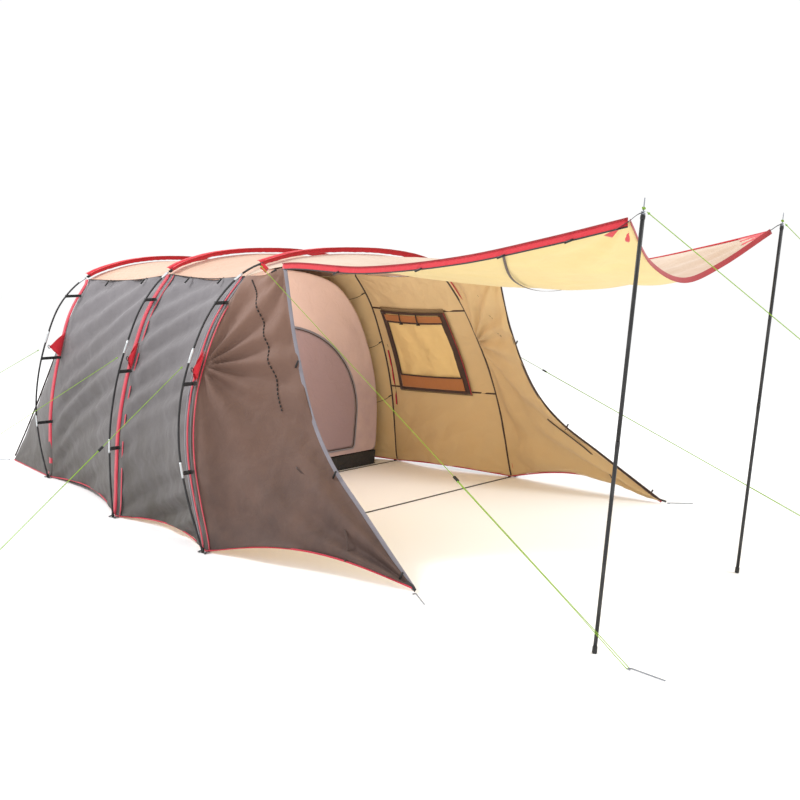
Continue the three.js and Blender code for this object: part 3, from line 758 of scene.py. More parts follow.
def pole_strap(arch, z, side):
    """A short webbing strap from the wall round the pole and back."""
    t = height_parameter(arch, z, side)
    centre = arch_point(arch, t, 0.0, 0.002)
    out = arch_out(arch, t)
    root = cloth_point(arch, height_parameter(arch, z, side, cloth_point), -0.003)
    path = [root - ALONG * 0.012, lerp(root, centre, 0.5) - ALONG * 0.011]
    for k in range(9):
        angle = math.pi * (1.02 - 1.04 * k / 8)
        path.append(centre + ALONG * (0.0088 * math.cos(angle)) + out * (0.0088 * math.sin(angle)))
    path += [lerp(root, centre, 0.5) + ALONG * 0.011, root + ALONG * 0.012]
    outs = []
    for i, p in enumerate(path):
        if i < 2:
            outs.append(-ALONG)
        elif i > len(path) - 3:
            outs.append(ALONG)
        else:
            outs.append((p - centre).normalized())
    return path, outs, lerp(root, centre, 0.45)


def add_pole_straps(label, arch):
    for side, word in ((-1, "near"), (1, "far")):
        plans = [pole_strap(arch, z, side) for z in (0.50, 1.045, 1.55)]
        bands(f"{label}_{word}_pole_straps", [(p, o) for p, o, _ in plans], 0.022, 0.0016, BLACK_TAPE)
        buckles = []
        for _, _, middle in plans:
            buckles.append([middle - ALONG * 0.015, middle - ALONG * 0.008, middle + ALONG * 0.008,
                            middle + ALONG * 0.015])
        tubes(f"{label}_{word}_strap_buckles", buckles, 0.010, BLACK_PLASTIC, 10)
        toes = []
        foot = arch_point(arch, 0.0 if side < 0 else 1.0)
        for shift in (-0.03, 0.03):
            base = foot + Vector((-side * 0.03, shift, 0.004))
            raised = base + Vector((side * 0.02, 0, 0.004))
            toes.append(([base, raised, base + Vector((side * 0.045, 0, 0.0))], UP))
        bands(f"{label}_{word}_foot_webbing", toes, 0.022, 0.0016, BLACK_TAPE)


def add_tab(label, arch, side, word):
    """A red pocket of cloth round the pole, where a guy line starts."""
    t = height_parameter(arch, TAB_HEIGHT, side)
    centre = arch_point(arch, t, 0.0, 0.002)
    out = arch_out(arch, t)
    apex = centre + out * 0.040

    for flank in (-1, 1):
        def point(u, v):
            z = TAB_HEIGHT + 0.095 * (1 - 2 * v)
            root = cloth_point(arch, height_parameter(arch, z, side, cloth_point), -0.004)
            p = lerp(root, apex, u)
            p.y += flank * (0.012 * math.sin(math.pi * min(u * 1.3, 1)) + 0.008 * (1 - u))
            return p

        cloth_sheet(f"{label}_{word}_guy_tab_{'front' if flank < 0 else 'rear'}", point, 12, 16, RED, RED,
                    relief=lambda u, v, p: crumple(p, 0.0018, 30), outward=ALONG * flank, thickness=0.0012)
    ring = []
    for k in range(17):
        angle = 2 * math.pi * k / 16
        ring.append(apex + out * (0.010 * math.cos(angle)) + UP * (0.014 * math.sin(angle)))
    tube(f"{label}_{word}_guy_ring", ring, 0.0028, BLACK_PLASTIC, 10)


for arch_label, arch_values in ARCHES.items():
    add_poles(arch_label, arch_values)
    add_sleeve(arch_label, arch_values)
    add_leg_tapes(arch_label, arch_values)
    add_pole_straps(arch_label, arch_values)
    add_tab(arch_label, arch_values, -1, "near")
add_tab("front", FRONT, 1, "far")


# ---------------------------------------------------------------- the fly
def bay_point(first, second, t, v, inset=CLOTH_INSET):
    """Cloth strained between two arches: drawn in half way along, most of all at the hem."""
    depth = inset - CLOTH_INSET
    p = lerp(cloth_point(first, t, depth, HEM), cloth_point(second, t, depth, HEM), v)
    pull = math.sin(math.pi * v)
    centre = Vector((0, p.y, 0.75))
    p = p + (centre - p).normalized() * (0.034 * pull)
    low = smooth(0.6, 0.0, p.z)
    p.x -= math.copysign(0.065 * pull * low, p.x)
    p.z += 0.022 * pull * low
    return p


def slant_folds(p, size, seed, spacing=0.19, slope=0.42):
    """Soft folds in a hanging wall that rise toward the front of the tent."""
    across = p.z * math.cos(slope) + p.y * math.sin(slope)
    along = p.z * math.sin(slope) - p.y * math.cos(slope)
    wander = 1.5 * noise.noise(Vector((across * 1.6, along * 0.7, seed)))
    strength = 0.55 + 0.9 * noise.noise(Vector((along * 1.1, across * 2.2, seed + 5)))
    wave = math.sin(2 * math.pi * across / spacing + 2.2 * wander)
    return size * max(strength, 0.1) * (0.75 * wave + 0.25 * wave * abs(wave))


def bay_relief(first, second, size, seed, folds=0.0):
    anchors = []
    for arch in (first, second):
        for side in (-1, 1):
            for z in (0.05, TAB_HEIGHT, 1.7):
                anchors.append(cloth_point(arch, height_parameter(arch, z, side, cloth_point)))

    def relief(u, v, p):
        edge = min(1.0, 7 * v, 7 * (1 - v))
        total = crumple(Vector((p.x, p.y * 1.6, p.z * 0.8)), size, 1.9, seed)
        total += 0.35 * crumple(p, size, 6.5, seed + 3)
        for anchor in anchors:
            if (anchor - p).length < 1.3:
                total += fan(p, anchor, ALONG, UP, 13, size * 0.42, 0.30)
        if folds:
            total += slant_folds(p, folds, seed) * smooth(1.85, 1.55, p.z)
        return total * edge

    return relief


def add_bay(node, first, second, start, end, outside, inside, outward, size, seed, across=110, keep=None,
            folds=0.0):
    def point(u, v):
        return bay_point(first, second, lerp(start, end, u), lerp(-0.002, 1.002, v))

    relief = bay_relief(first, second, size, seed, folds)
    piece = cloth_sheet(node + "_cloth", point, across, 90, outside, inside, relief, outward, keep=keep)
    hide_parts(node)
    return piece


def hem_line(first, second, side, count=60):
    t = 0.0 if side < 0 else 1.0
    points = []
    for k in range(count + 1):
        p = bay_point(first, second, t, k / count)
        points.append(Vector((p.x, p.y, max(p.z, 0.006))))
    return points


def border_line(first, second, side, count=50):
    t = LEG_SHARE if side < 0 else 1 - LEG_SHARE
    return [bay_point(first, second, t, k / count, CLOTH_INSET - 0.004) for k in range(count + 1)]


def toggle(at, axis, out, half=0.019):
    centre = at + out * 0.012
    return [centre + axis * half * share for share in (-1, -0.4, 0.4, 1)]


WINDOW = dict(start=0.225, end=0.862, sill=0.700, head=1.410)


def in_window(v, z):
    return WINDOW["start"] < v < WINDOW["end"] and WINDOW["sill"] < z < WINDOW["head"]


def add_fly():
    near = (0.0, LEG_SHARE)
    far = (1 - LEG_SHARE, 1.0)
    top = (LEG_SHARE, 1 - LEG_SHARE)
    sides = {"near": Vector((-1, 0, 0.2)), "far": Vector((1, 0, 0.2))}
    roofs = (("front_roof", FRONT, MIDDLE, 4.0), ("rear_roof", MIDDLE, REAR, 8.0))
    for node, first, second, seed in roofs:
        roof = add_bay(node, first, second, *top, ROOF, ROOF, UP, 0.0085, seed, 120)
    walls = (
        ("near_front_wall", FRONT, MIDDLE, near, "near", 2.0),
        ("near_rear_wall", MIDDLE, REAR, near, "near", 6.0),
        ("far_front_wall", FRONT, MIDDLE, far, "far", 10.0),
        ("far_rear_wall", MIDDLE, REAR, far, "far", 12.0),
    )
    for node, first, second, span, word, seed in walls:
        keep = (lambda u, v, p: not in_window(v, p.z)) if node == "far_front_wall" else None
        folds = 0.026 if word == "near" else 0.007
        wall = add_bay(node, first, second, *span, WALL, INSIDE, sides[word], 0.011, seed, 190, keep, folds)
        side = -1 if word == "near" else 1
        tube(node + "_hem_piping", hem_line(first, second, side), 0.0048, RED_TAPE, 10)
        tube(node + "_eave_piping", border_line(first, second, side), 0.0034, BROWN, 10)
        bars, loops = [], []
        border = LEG_SHARE if side < 0 else 1 - LEG_SHARE
        for share in (0.28, 0.72):
            top = bay_point(first, second, border, share, CLOTH_INSET - 0.004)
            below = bay_point(first, second, border + side * 0.05, share, CLOTH_INSET - 0.004)
            down = (below - top).normalized()
            out = down.cross(ALONG).normalized()
            if out.x * side < 0:
                out = -out
            at = top + down * 0.045 + out * 0.012
            bars.append(toggle(at, (down + ALONG * 0.3).normalized(), out, 0.024))
            loops.append(([top + out * 0.010, at + out * 0.012], out))
        tubes(node + "_toggles", bars, 0.0062, BLACK_PLASTIC, 10)
        bands(node + "_toggle_loops", loops, 0.010, 0.0012, BLACK_TAPE)


def rear_point(t, v):
    side = -1 if t < 0.5 else 1
    from_foot = min(t, 1 - t) / LEG_SHARE
    foot_x = REAR["width"] - CLOTH_INSET
    foot_y = REAR["y"] + 0.060
    if from_foot < 1:
        base_x = side * lerp(foot_x, REAR_CORNER[0], from_foot)
        base = Vector((base_x, lerp(foot_y, REAR_CORNER[1], from_foot), HEM))
    else:
        x = lerp(-REAR_CORNER[0], REAR_CORNER[0], (t - LEG_SHARE) / (1 - 2 * LEG_SHARE))
        base = Vector((x, REAR_CORNER[1], HEM))
    top = cloth_point(REAR, t, 0.0, HEM)
    p = lerp(top, base, v)
    p.y += (0.060 - 0.085 * smooth(0, 1, v)) * math.sin(math.pi * v) * math.sin(math.pi * t)
    return p


def add_rear_end():
    corners = [Vector((side * REAR_CORNER[0], REAR_CORNER[1], 0.02)) for side in (-1, 1)]

    def relief(u, v, p):
        edge = min(1.0, 8 * v, 6 * (1 - v) + 0.2)
        total = crumple(p, 0.011, 1.8, 21) + 0.35 * crumple(p, 0.011, 6, 25)
        for anchor in corners:
            total += fan(p, anchor, Vector((1, 0, 0)), UP, 12, 0.011, 0.6)
        return total * edge

    piece = cloth_sheet("rear_end_cloth", rear_point, 200, 90, WALL, INSIDE, relief, Vector((0, 1, 0.6)))
    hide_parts("rear_end")
    hem = [rear_point(k / 160, 0.999) for k in range(161)]
    hem = [Vector((p.x, p.y, max(p.z, 0.006))) for p in hem]
    tube("rear_hem_piping", hem, 0.0048, RED_TAPE, 10)
    for number, u in enumerate((LEG_SHARE, 0.5, 1 - LEG_SHARE)):
        seam = [rear_point(u, lerp(0.02, 0.98, k / 60)) + Vector((0, 0.006, 0.003)) for k in range(61)]
        band(f"rear_seam_{number}", seam, Vector((0, 0.8, 0.6)), 0.016, 0.0012, BROWN)


def far_wall(share, z, depth):
    """A point of the front bay's far wall at a share of its length and a height, depth inside the cloth."""
    t = height_parameter(FRONT, z, 1, cloth_point)
    return bay_point(FRONT, MIDDLE, t, share, CLOTH_INSET + depth)


def add_window():
    inward = Vector((-1, 0, -0.15)).normalized()
    start, end, sill, head = (WINDOW[key] for key in ("start", "end", "sill", "head"))

    def pane(u, v):
        return far_wall(lerp(start - 0.026, end + 0.026, u), lerp(sill - 0.03, head + 0.03, v), 0.009)

    def hang(share, z):
        across = (share - start) / (end - start)
        up = (z - sill) / (head - sill)
        return 0.013 * math.sin(math.pi * min(max(across, 0), 1)) * math.sin(math.pi * min(max(up, 0), 1))

    def curtain(u, v):
        share = lerp(start + 0.013, end - 0.013, u)
        z = lerp(sill + 0.015, head - 0.015, v)
        return far_wall(share, z, 0.017 + hang(share, z))

    net = cloth_sheet("window_net", pane, 30, 30, NET, NET, outward=-inward, thickness=0.0012)
    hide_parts("window_mesh_pane")

    def creases(u, v, p):
        hold = min(1.0, 6 * (1 - v), 8 * u + 0.1, 8 * (1 - u) + 0.1)
        return hold * (crumple(p, 0.008, 5, 31) + 0.006 * math.sin(u * 17 + 2 * math.sin(v * 4)))

    blind = cloth_sheet("window_curtain_cloth", curtain, 80, 80, CURTAIN, CURTAIN, creases, inward, None,
                        thickness=0.0012)
    fold_start = far_wall(lerp(start, end, 0.5), head - 0.022, 0.017)
    fold_end = far_wall(lerp(start, end, 0.5), head - 0.110, 0.017)
    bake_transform(blind)
    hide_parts("window_curtain")

    def strip(low, high):
        def point(u, v):
            share = lerp(start + 0.016, end - 0.016, u)
            z = lerp(low, high, v)
            return far_wall(share, z, 0.029 + hang(share, z))

        return point

    plans = (
        ("window_curtain_foot_strip", sill + 0.018, sill + 0.135),
        ("window_curtain_head_strip", head - 0.075, head - 0.018),
    )
    for name, low, high in plans:
        piece = cloth_sheet(name, strip(low, high), 70, 12, STRIP, STRIP,
                            relief=lambda u, v, p: crumple(p, 0.003, 9, 33), outward=inward, body=None,
                            thickness=0.0014)
        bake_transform(piece)
    for name, z in (("window_foot_strip_seam", sill + 0.137), ("window_head_strip_seam", head - 0.078)):
        line = [far_wall(lerp(start + 0.016, end - 0.016, k / 40), z,
                         0.033 + hang(lerp(start, end, k / 40), z)) for k in range(41)]
        piece = band(name, line, inward, 0.014, 0.0014, BROWN, None)
        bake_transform(piece)
    heights = [lerp(sill - 0.012, head + 0.012, k / 30) for k in range(31)]
    shares = [lerp(start - 0.012, end + 0.012, k / 30) for k in range(31)]
    for edge, share, rise, wide, thick, material in (
        ("front_binding", start + 0.004, 0.024, 0.070, 0.002, BROWN),
        ("rear_binding", end - 0.004, 0.024, 0.056, 0.002, BROWN),
        ("front_piping", start - 0.030, 0.026, 0.008, 0.003, RED_TAPE),
    ):
        band(f"window_{edge}", [far_wall(share, z, rise) for z in heights], inward, wide, thick, material)
    for edge, height, wide in (("sill", sill + 0.002, 0.024), ("head", head - 0.002, 0.022)):
        line = [far_wall(s, height, 0.024) for s in shares]
        band(f"window_{edge}_binding", line, inward, wide, 0.002, BROWN)
    loops, bars = [], []
    for share in (0.40, 0.69):
        place = lerp(start, end, share)
        top = far_wall(place, head - 0.004, 0.031)
        low = far_wall(place, head - 0.085, 0.044)
        loops.append(([top, lerp(top, low, 0.5) + inward * 0.006, low], inward))
        bars.append([low + Vector((0, -0.018, 0)), low + Vector((0, -0.006, 0)), low + Vector((0, 0.006, 0)),
                     low + Vector((0, 0.018, 0))])
    bands("window_curtain_loops", loops, 0.012, 0.0014, BLACK_TAPE)
    tubes("window_curtain_toggles", bars, 0.0055, BLACK_PLASTIC, 10)


def add_inside_seams():
    """Bound seams on the inside of the far side, where the panels and the arches meet."""
    inward = Vector((-1, 0, 0))
    for number, z in enumerate((WINDOW["sill"], WINDOW["head"] + 0.01)):
        for part, (low, high) in enumerate(((0.0, WINDOW["start"] - 0.02), (WINDOW["end"] + 0.01, 1.0))):
            line = [far_wall(lerp(low, high, k / 20), z, 0.004) for k in range(21)]
            band(f"far_wall_cross_seam_{number}_{part}", line, inward, 0.014, 0.0014, BROWN)
    for label, arch in (("front", FRONT), ("middle", MIDDLE), ("rear", REAR)):
        for side, word in ((-1, "near"), (1, "far")):
            line, outs = wall_line(arch, side, 0.012, None, 0.0, CLOTH_INSET + 0.004)
            band(f"{label}_{word}_inside_seam", line, [-o for o in outs], 0.020, 0.0016, BROWN)
        crest = along_path(lambda s: cloth_point(arch, lerp(LEG_SHARE, 1 - LEG_SHARE, s), 0.004), 60)
        outs = [-arch_out(arch, lerp(LEG_SHARE, 1 - LEG_SHARE, k / 60)) for k in range(61)]
        band(f"{label}_crest_inside_seam", crest, outs, 0.020, 0.0016, BROWN)


add_fly()
add_rear_end()
add_window()
add_inside_seams()


# ---------------------------------------------------------------- wings and awning
FALL = [(0.36, 0.19), (0.6, 0.32), (0.76, 0.46), (0.91, 0.72)]
ZIP = [(0.985, 0.26), (0.945, 0.39), (0.86, 0.555), (0.78, 0.645), (0.69, 0.69), (0.585, 0.70)]


def wing_top(side):
    return Vector((side * WING_TOP[0], WING_TOP[1], WING_TOP[2]))


def wing_edge(side, tip):
    top = wing_top(side)
    points = [tip]
    for along, height in FALL:
        p = lerp(tip, top, along)
        p.z = lerp(tip.z, top.z, height)
        points.append(p)
    return points + [top]


def wing_point(side, edge, u, v):
    t = u * (LEG_SHARE - 0.0015) if side < 0 else 1 - u * (LEG_SHARE - 0.0015)
    rear = cloth_point(FRONT, t, 0.0, HEM)
    front = curve_point(edge, u)
    front.z -= 0.008 * u
    rear.z -= 0.004 * u
    p = lerp(rear, front, v)
    p.z += 0.110 * math.sin(math.pi * v) * (1 - u) ** 3
    p.x -= side * 0.030 * math.sin(math.pi * v) * (1 - u) * u * 3
    return p


def add_wing(word, side, tip):
    edge = wing_edge(side, tip)
    mid_tab = cloth_point(FRONT, height_parameter(FRONT, TAB_HEIGHT, side, cloth_point))

    def relief(u, v, p):
        hold = min(1.0, 9 * v, 9 * (1 - v) + 0.25)
        total = crumple(Vector((p.x, p.y, p.z * 0.7)), 0.017, 1.6, 41 + side)
        total += 0.4 * crumple(p, 0.014, 5.5, 45)
        total += fan(p, tip, ALONG, UP, 27, 0.030, 2.2)
        total += fan(p, mid_tab, ALONG, UP, 13, 0.030, 0.9)
        total += fan(p, wing_top(side), ALONG, UP, 12, 0.014, 0.6)
        return total * hold

    def point(u, v):
        return wing_point(side, edge, u, v)

    outward = Vector((side, -0.1, 0.1))
    piece = cloth_sheet(f"{word}_wing_cloth", point, 130, 100, WING, INSIDE, relief, outward)
    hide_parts(f"{word}_wing")
    out = Vector((side, -0.25, 0.1)).normalized()
    front_line = [point(k / 80, 1.0) + out * 0.001 for k in range(81)]
    band(f"{word}_wing_edge_tape", front_line, out, 0.028, 0.0016, GREY_TAPE if side < 0 else BROWN)
    hem = [point(0.0, k / 80) for k in range(81)]
    tube(f"{word}_wing_hem_piping", [Vector((p.x, p.y, max(p.z, 0.006))) for p in hem], 0.0052, RED_TAPE, 10)
    strips = []
    for u in (0.03, 0.365, 0.755):
        at = point(u, 0.985) + out * 0.006
        strips.append(toggle(at, Vector((0, -0.5, 0.85)).normalized(), out, 0.026))
    tubes(f"{word}_wing_toggles", strips, 0.0062, BLACK_PLASTIC, 10)
    dashes = []
    zip_line = [Vector((u, v, 0)) for u, v in ZIP]
    for k in range(40):
        ends = []
        for share in (k / 40, (k + 0.6) / 40):
            place = curve_point(zip_line, share)
            at = point(place.x, place.y)
            ends.append(at + out * (relief(place.x, place.y, at) + 0.004))
        dashes.append(ends)
    tubes(f"{word}_wing_zip", dashes, 0.0042, BLACK_PLASTIC, 8)
    seam = []
    for k in range(41):
        across = 0.70 + 0.12 * math.sin(math.pi * k / 40)
        seam.append(point(lerp(0.0, 0.34, k / 40), across) + out * 0.008)
    band(f"{word}_wing_tip_seam", seam, out, 0.012, 0.0012, BROWN)
    loop = []
    for shift in ((0, 0.06, 0.03), (0, 0.01, 0.012), (side * 0.02, -0.03, 0.0)):
        p = tip + Vector(shift)
        loop.append(Vector((p.x, p.y, max(p.z, 0.003))))
    band(f"{word}_wing_peg_loop", loop, Vector((side, 0, 0.4)), 0.020, 0.0016, BLACK_TAPE)


def awning_edge(side, corner):
    border = cloth_point(FRONT, LEG_SHARE if side < 0 else 1 - LEG_SHARE)
    points = [border, wing_top(side)]
    for share, drop in ((0.3, 0.080), (0.6, 0.085), (0.82, 0.045)):
        p = lerp(wing_top(side), corner, share)
        p.z -= drop
        points.append(p)
    return points + [corner]


NEAR_CORNER = NEAR_POST[1] + CORNER_REACH
FAR_CORNER = FAR_POST[1] + CORNER_REACH
AWNING_NEAR = awning_edge(-1, NEAR_CORNER)
AWNING_FAR = awning_edge(1, FAR_CORNER)
AWNING_MIDDLE = lerp(NEAR_CORNER, FAR_CORNER, 0.56) + Vector((0, 0.165, -0.265))
QUARTER = Vector((0, 0.045, -0.050))
AWNING_FRONT = [
    NEAR_CORNER,
    lerp(NEAR_CORNER, AWNING_MIDDLE, 0.5) + QUARTER,
    AWNING_MIDDLE,
    lerp(AWNING_MIDDLE, FAR_CORNER, 0.5) + QUARTER,
    FAR_CORNER,
]


def awning_back(u):
    return cloth_point(FRONT, lerp(LEG_SHARE, 1 - LEG_SHARE, u))


def awning_point(u, v):
    p = awning_back(u) * (1 - v) + curve_point(AWNING_FRONT, u) * v
    p = p + curve_point(AWNING_NEAR, v) * (1 - u) + curve_point(AWNING_FAR, v) * u
    p = p - awning_back(0) * ((1 - u) * (1 - v)) - awning_back(1) * (u * (1 - v))
    p = p - NEAR_CORNER * ((1 - u) * v) - FAR_CORNER * (u * v)
    p.z -= 0.075 * math.sin(math.pi * u) * math.sin(math.pi * v)
    return p


def add_awning():
    side_x = Vector((1, 0, 0))

    def relief(u, v, p):
        hold = min(1.0, 8 * v, 10 * (1 - v) + 0.2, 10 * u + 0.2, 10 * (1 - u) + 0.2)
        total = crumple(Vector((p.x * 1.3, p.y * 0.6, p.z)), 0.016, 1.5, 51) + 0.3 * crumple(p, 0.012, 5, 55)
        total += fan(p, NEAR_CORNER, side_x, ALONG, 13, 0.013, 0.7)
        total += fan(p, FAR_CORNER, side_x, ALONG, 13, 0.016, 0.8)
        return total * hold

    piece = cloth_sheet("awning_cloth_sheet", awning_point, 130, 150, AWNING_TOP, AWNING_UNDER, relief, UP)
    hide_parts("awning")
    near = [awning_point(0.0, lerp(0.19, 0.995, k / 90)) for k in range(91)]
    far = [awning_point(1.0, lerp(0.19, 0.995, k / 90)) for k in range(91)]
    front = [awning_point(k / 90, 1.0) for k in range(91)]
    band("awning_near_edge_band", near, Vector((-1, 0, 0.25)).normalized(), 0.036, 0.002, RED, shift=0.0)
    band("awning_far_edge_band", far, Vector((1, 0, 0.4)).normalized(), 0.014, 0.002, RED)
    band("awning_front_edge_band", front, Vector((0, -1, 0.35)).normalized(), 0.030, 0.002, DARK_RED)
    under = [p + Vector((-0.003, 0, -0.019)) for p in near]
    tube("awning_near_edge_binding", under, 0.0042, BLACK_TAPE, 8)
    over = [p + Vector((-0.003, 0, 0.019)) for p in near]
    tube("awning_near_top_binding", over, 0.0030, DARK_RED, 8)
    bars = []
    for share in (0.16, 0.34, 0.52, 0.70, 0.86):
        at = awning_point(0.0, share) + Vector((-0.006, 0, -0.022))
        bars.append(toggle(at, Vector((0, 0.95, -0.3)).normalized(), Vector((-1, 0, 0)), 0.024))
    tubes("awning_near_toggles", bars, 0.0058, BLACK_PLASTIC, 10)
    seam = [awning_point(k / 80, 0.70 - 0.10 * math.sin(math.pi * k / 80)) - UP * 0.012 for k in range(81)]
    band("awning_cross_seam", seam, -UP, 0.014, 0.0012, BROWN)
    corners = (("near", NEAR_CORNER, NEAR_POST, 1), ("far", FAR_CORNER, FAR_POST, -1))
    for word, corner, post, across in corners:
        def patch(u, v, across=across, corner=corner):
            a = v * 0.13
            u_share = a * u if across > 0 else 1 - a * u
            return awning_point(u_share, 1 - 0.10 * v * (1 - u) - 0.002) + UP * 0.004

        cloth_sheet(f"awning_{word}_corner_patch", patch, 14, 14, RED, RED, outward=UP, thickness=0.0014)
        tip = post[1] + Vector((0, 0, 0.004))
        out = Vector((-0.3, -0.2, 1)).normalized()
        tail = [
            corner + (corner - tip) * 1.2 + UP * 0.004,
            corner + UP * 0.006,
            lerp(corner, tip, 0.6) + UP * 0.010,
            tip + UP * 0.006,
        ]
        line = [curve_point(tail, k / 16) for k in range(17)]
        band(f"awning_{word}_corner_webbing", line, out, 0.024, 0.0022, BLACK_TAPE)
        eyelet = []
        for k in range(25):
            angle = 2 * math.pi * k / 24
            eyelet.append(tip + Vector((0.0075 * math.cos(angle), 0.0075 * math.sin(angle), 0.009)))
        tube(f"awning_{word}_eyelet", eyelet, 0.0024, STEEL, 10)


crest_tie = guy_start("wing", -1, 0.44)
crest_tab = [
    crest_tie - WING_FIXING * 1.05 + UP * 0.004,
    crest_tie - WING_FIXING * 0.5 + UP * 0.008,
    crest_tie,
]
band("near_crest_guy_tab", crest_tab, Vector((-0.4, -0.9, 0.2)).normalized(), 0.040, 0.002, RED)
add_wing("near", -1, NEAR_TIP)
add_wing("far", 1, FAR_TIP)
add_awning()


# ---------------------------------------------------------------- uprights
def add_upright(word, foot, top):
    axis = (top - foot).normalized()
    length = (top - foot).length
    start = foot + UP * 0.0015
    half = length / 2
    low = [start + axis * s for s in (0.0, half * 0.5, half - 0.05, half - 0.03, half)]
    lower = tube(f"{word}_upright_lower_bar", low, [0.0095, 0.0095, 0.0095, 0.0105, 0.0105], BLACK_TUBE, 28)
    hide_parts(f"{word}_upright_lower_tube")
    high = [start + axis * s for s in (half + 0.0005, half + 0.5, length)]
    upper = tube(f"{word}_upright_upper_bar", high, 0.0095, BLACK_TUBE, 28)
    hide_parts(f"{word}_upright_upper_tube")
    places = [0.0, 0.004, 0.03, 0.034]
    cap = [start + axis * s for s in places]
    tube(f"{word}_upright_foot_cap", cap, [0.0118, 0.0128, 0.0120, 0.0100], BLACK_PLASTIC, 28)
    collar = [start + axis * (length - 0.022 + s) for s in (0.0, 0.003, 0.016, 0.020)]
    tube(f"{word}_upright_top_collar", collar, [0.0098, 0.0112, 0.0112, 0.0098], BLACK_PLASTIC, 28)
    knot(f"{word}_upright_knot", start + axis * (length + 0.026), axis, 0.005, LIME)


for post_word, (post_foot, post_top) in (("near", NEAR_POST), ("far", FAR_POST)):
    add_upright(post_word, post_foot, post_top)
    dress(f"{post_word}_upright_spike", STEEL)


# ---------------------------------------------------------------- inner tent
INNER_FRONT = dict(y=1.290, width=1.210, height=1.766)
INNER_REAR = dict(top_y=2.490, foot_y=3.250, width=0.984, height=1.690)
FLOOR_WALL = 0.130
FIRST = 0.022


def inner_shell(u, v):
    p = curve_point(PROFILE, lerp(FIRST, 1 - FIRST, u))
    along = min(v / 0.85, 1.0)
    shrink = lerp(1.0, 0.04, (v - 0.85) / 0.15) if v > 0.85 else 1.0
    width = lerp(INNER_FRONT["width"], INNER_REAR["width"], along)
    height = lerp(INNER_FRONT["height"], INNER_REAR["height"], along)
    middle = height / 2
    sag = 0.05 * math.sin(math.pi * along) * (1 if v < 0.85 else 0)
    z = middle + (max(height * p.z, FLOOR_WALL + 0.004) - middle) * shrink
    y = lerp(INNER_FRONT["y"] + 0.004, lerp(INNER_REAR["foot_y"], INNER_REAR["top_y"], z / height), along)
    return Vector((width * p.x * shrink * (1 - 0.4 * sag), y + (1 - shrink) * 0.06, z - sag * max(p.z, 0)))


def door_outline(count=120):
    """The door's edge: straight up the hinge side, arched over the head and down the far side."""
    bottom = 0.190
    left, right, top = -0.330, 0.990, 1.290
    corners = [(left, 1.150), (left, 0.67), (left, bottom), (0.31, bottom), (0.950, bottom), (right, 0.520)]

    def bezier(a, b, c, d, s):
        return tuple(
            a[k] * (1 - s) ** 3 + 3 * b[k] * s * (1 - s) ** 2 + 3 * c[k] * s * s * (1 - s) + d[k] * s**3
            for k in (0, 1)
        )

    arc = [bezier((right, 0.52), (right, 0.96), (0.62, 1.265), (0.15, top), k / 24) for k in range(1, 25)]
    arc += [bezier((0.15, top), (-0.10, 1.30), (left, 1.29), (left, 1.15), k / 14) for k in range(1, 14)]
    line = [Vector((x, z)) for x, z in corners + arc]
    lengths = [0.0]
    for a, b in zip(line, line[1:] + line[:1]):
        lengths.append(lengths[-1] + (b - a).length)
    result = []
    for k in range(count):
        want = lengths[-1] * k / count
        i = max(n for n in range(len(line)) if lengths[n] <= want)
        share = (want - lengths[i]) / (lengths[i + 1] - lengths[i])
        result.append(lerp(line[i], line[(i + 1) % len(line)], share))
    return result


def panel_edge(direction, centre):
    """Where a ray from the door's middle leaves the front panel."""
    low, high = 0.0, 3.0
    bottom = FLOOR_WALL + 0.004
    for _ in range(36):
        reach = (low + high) / 2
        p = centre + direction * reach
        inside = p.y > bottom and p.y < INNER_FRONT["height"]
        if inside:
            side = abs(p.x) / INNER_FRONT["width"]
            inside = side < profile_width(p.y / INNER_FRONT["height"])
        low, high = (reach, high) if inside else (low, reach)
    return centre + direction * low


def profile_width(height):
    low, high = 0.0, 0.5
    for _ in range(30):
        middle = (low + high) / 2
        if curve_point(PROFILE, middle).z < height:
            low = middle
        else:
            high = middle
    return -curve_point(PROFILE, low).x


def front_relief(x, z, seed):
    p = Vector((x, 0.3, z))
    top = Vector((0.1, 0.3, 1.75))
    side = Vector((1.15, 0.3, 1.1))
    wave = crumple(p, 0.010, 2.3, seed) + 0.3 * crumple(p, 0.01, 7, seed + 1)
    wave += fan(p, top, Vector((1, 0, 0)), UP, 9, 0.006, 0.5)
    wave += fan(p, side, Vector((1, 0, 0)), UP, 9, 0.006, 0.4)
    return wave


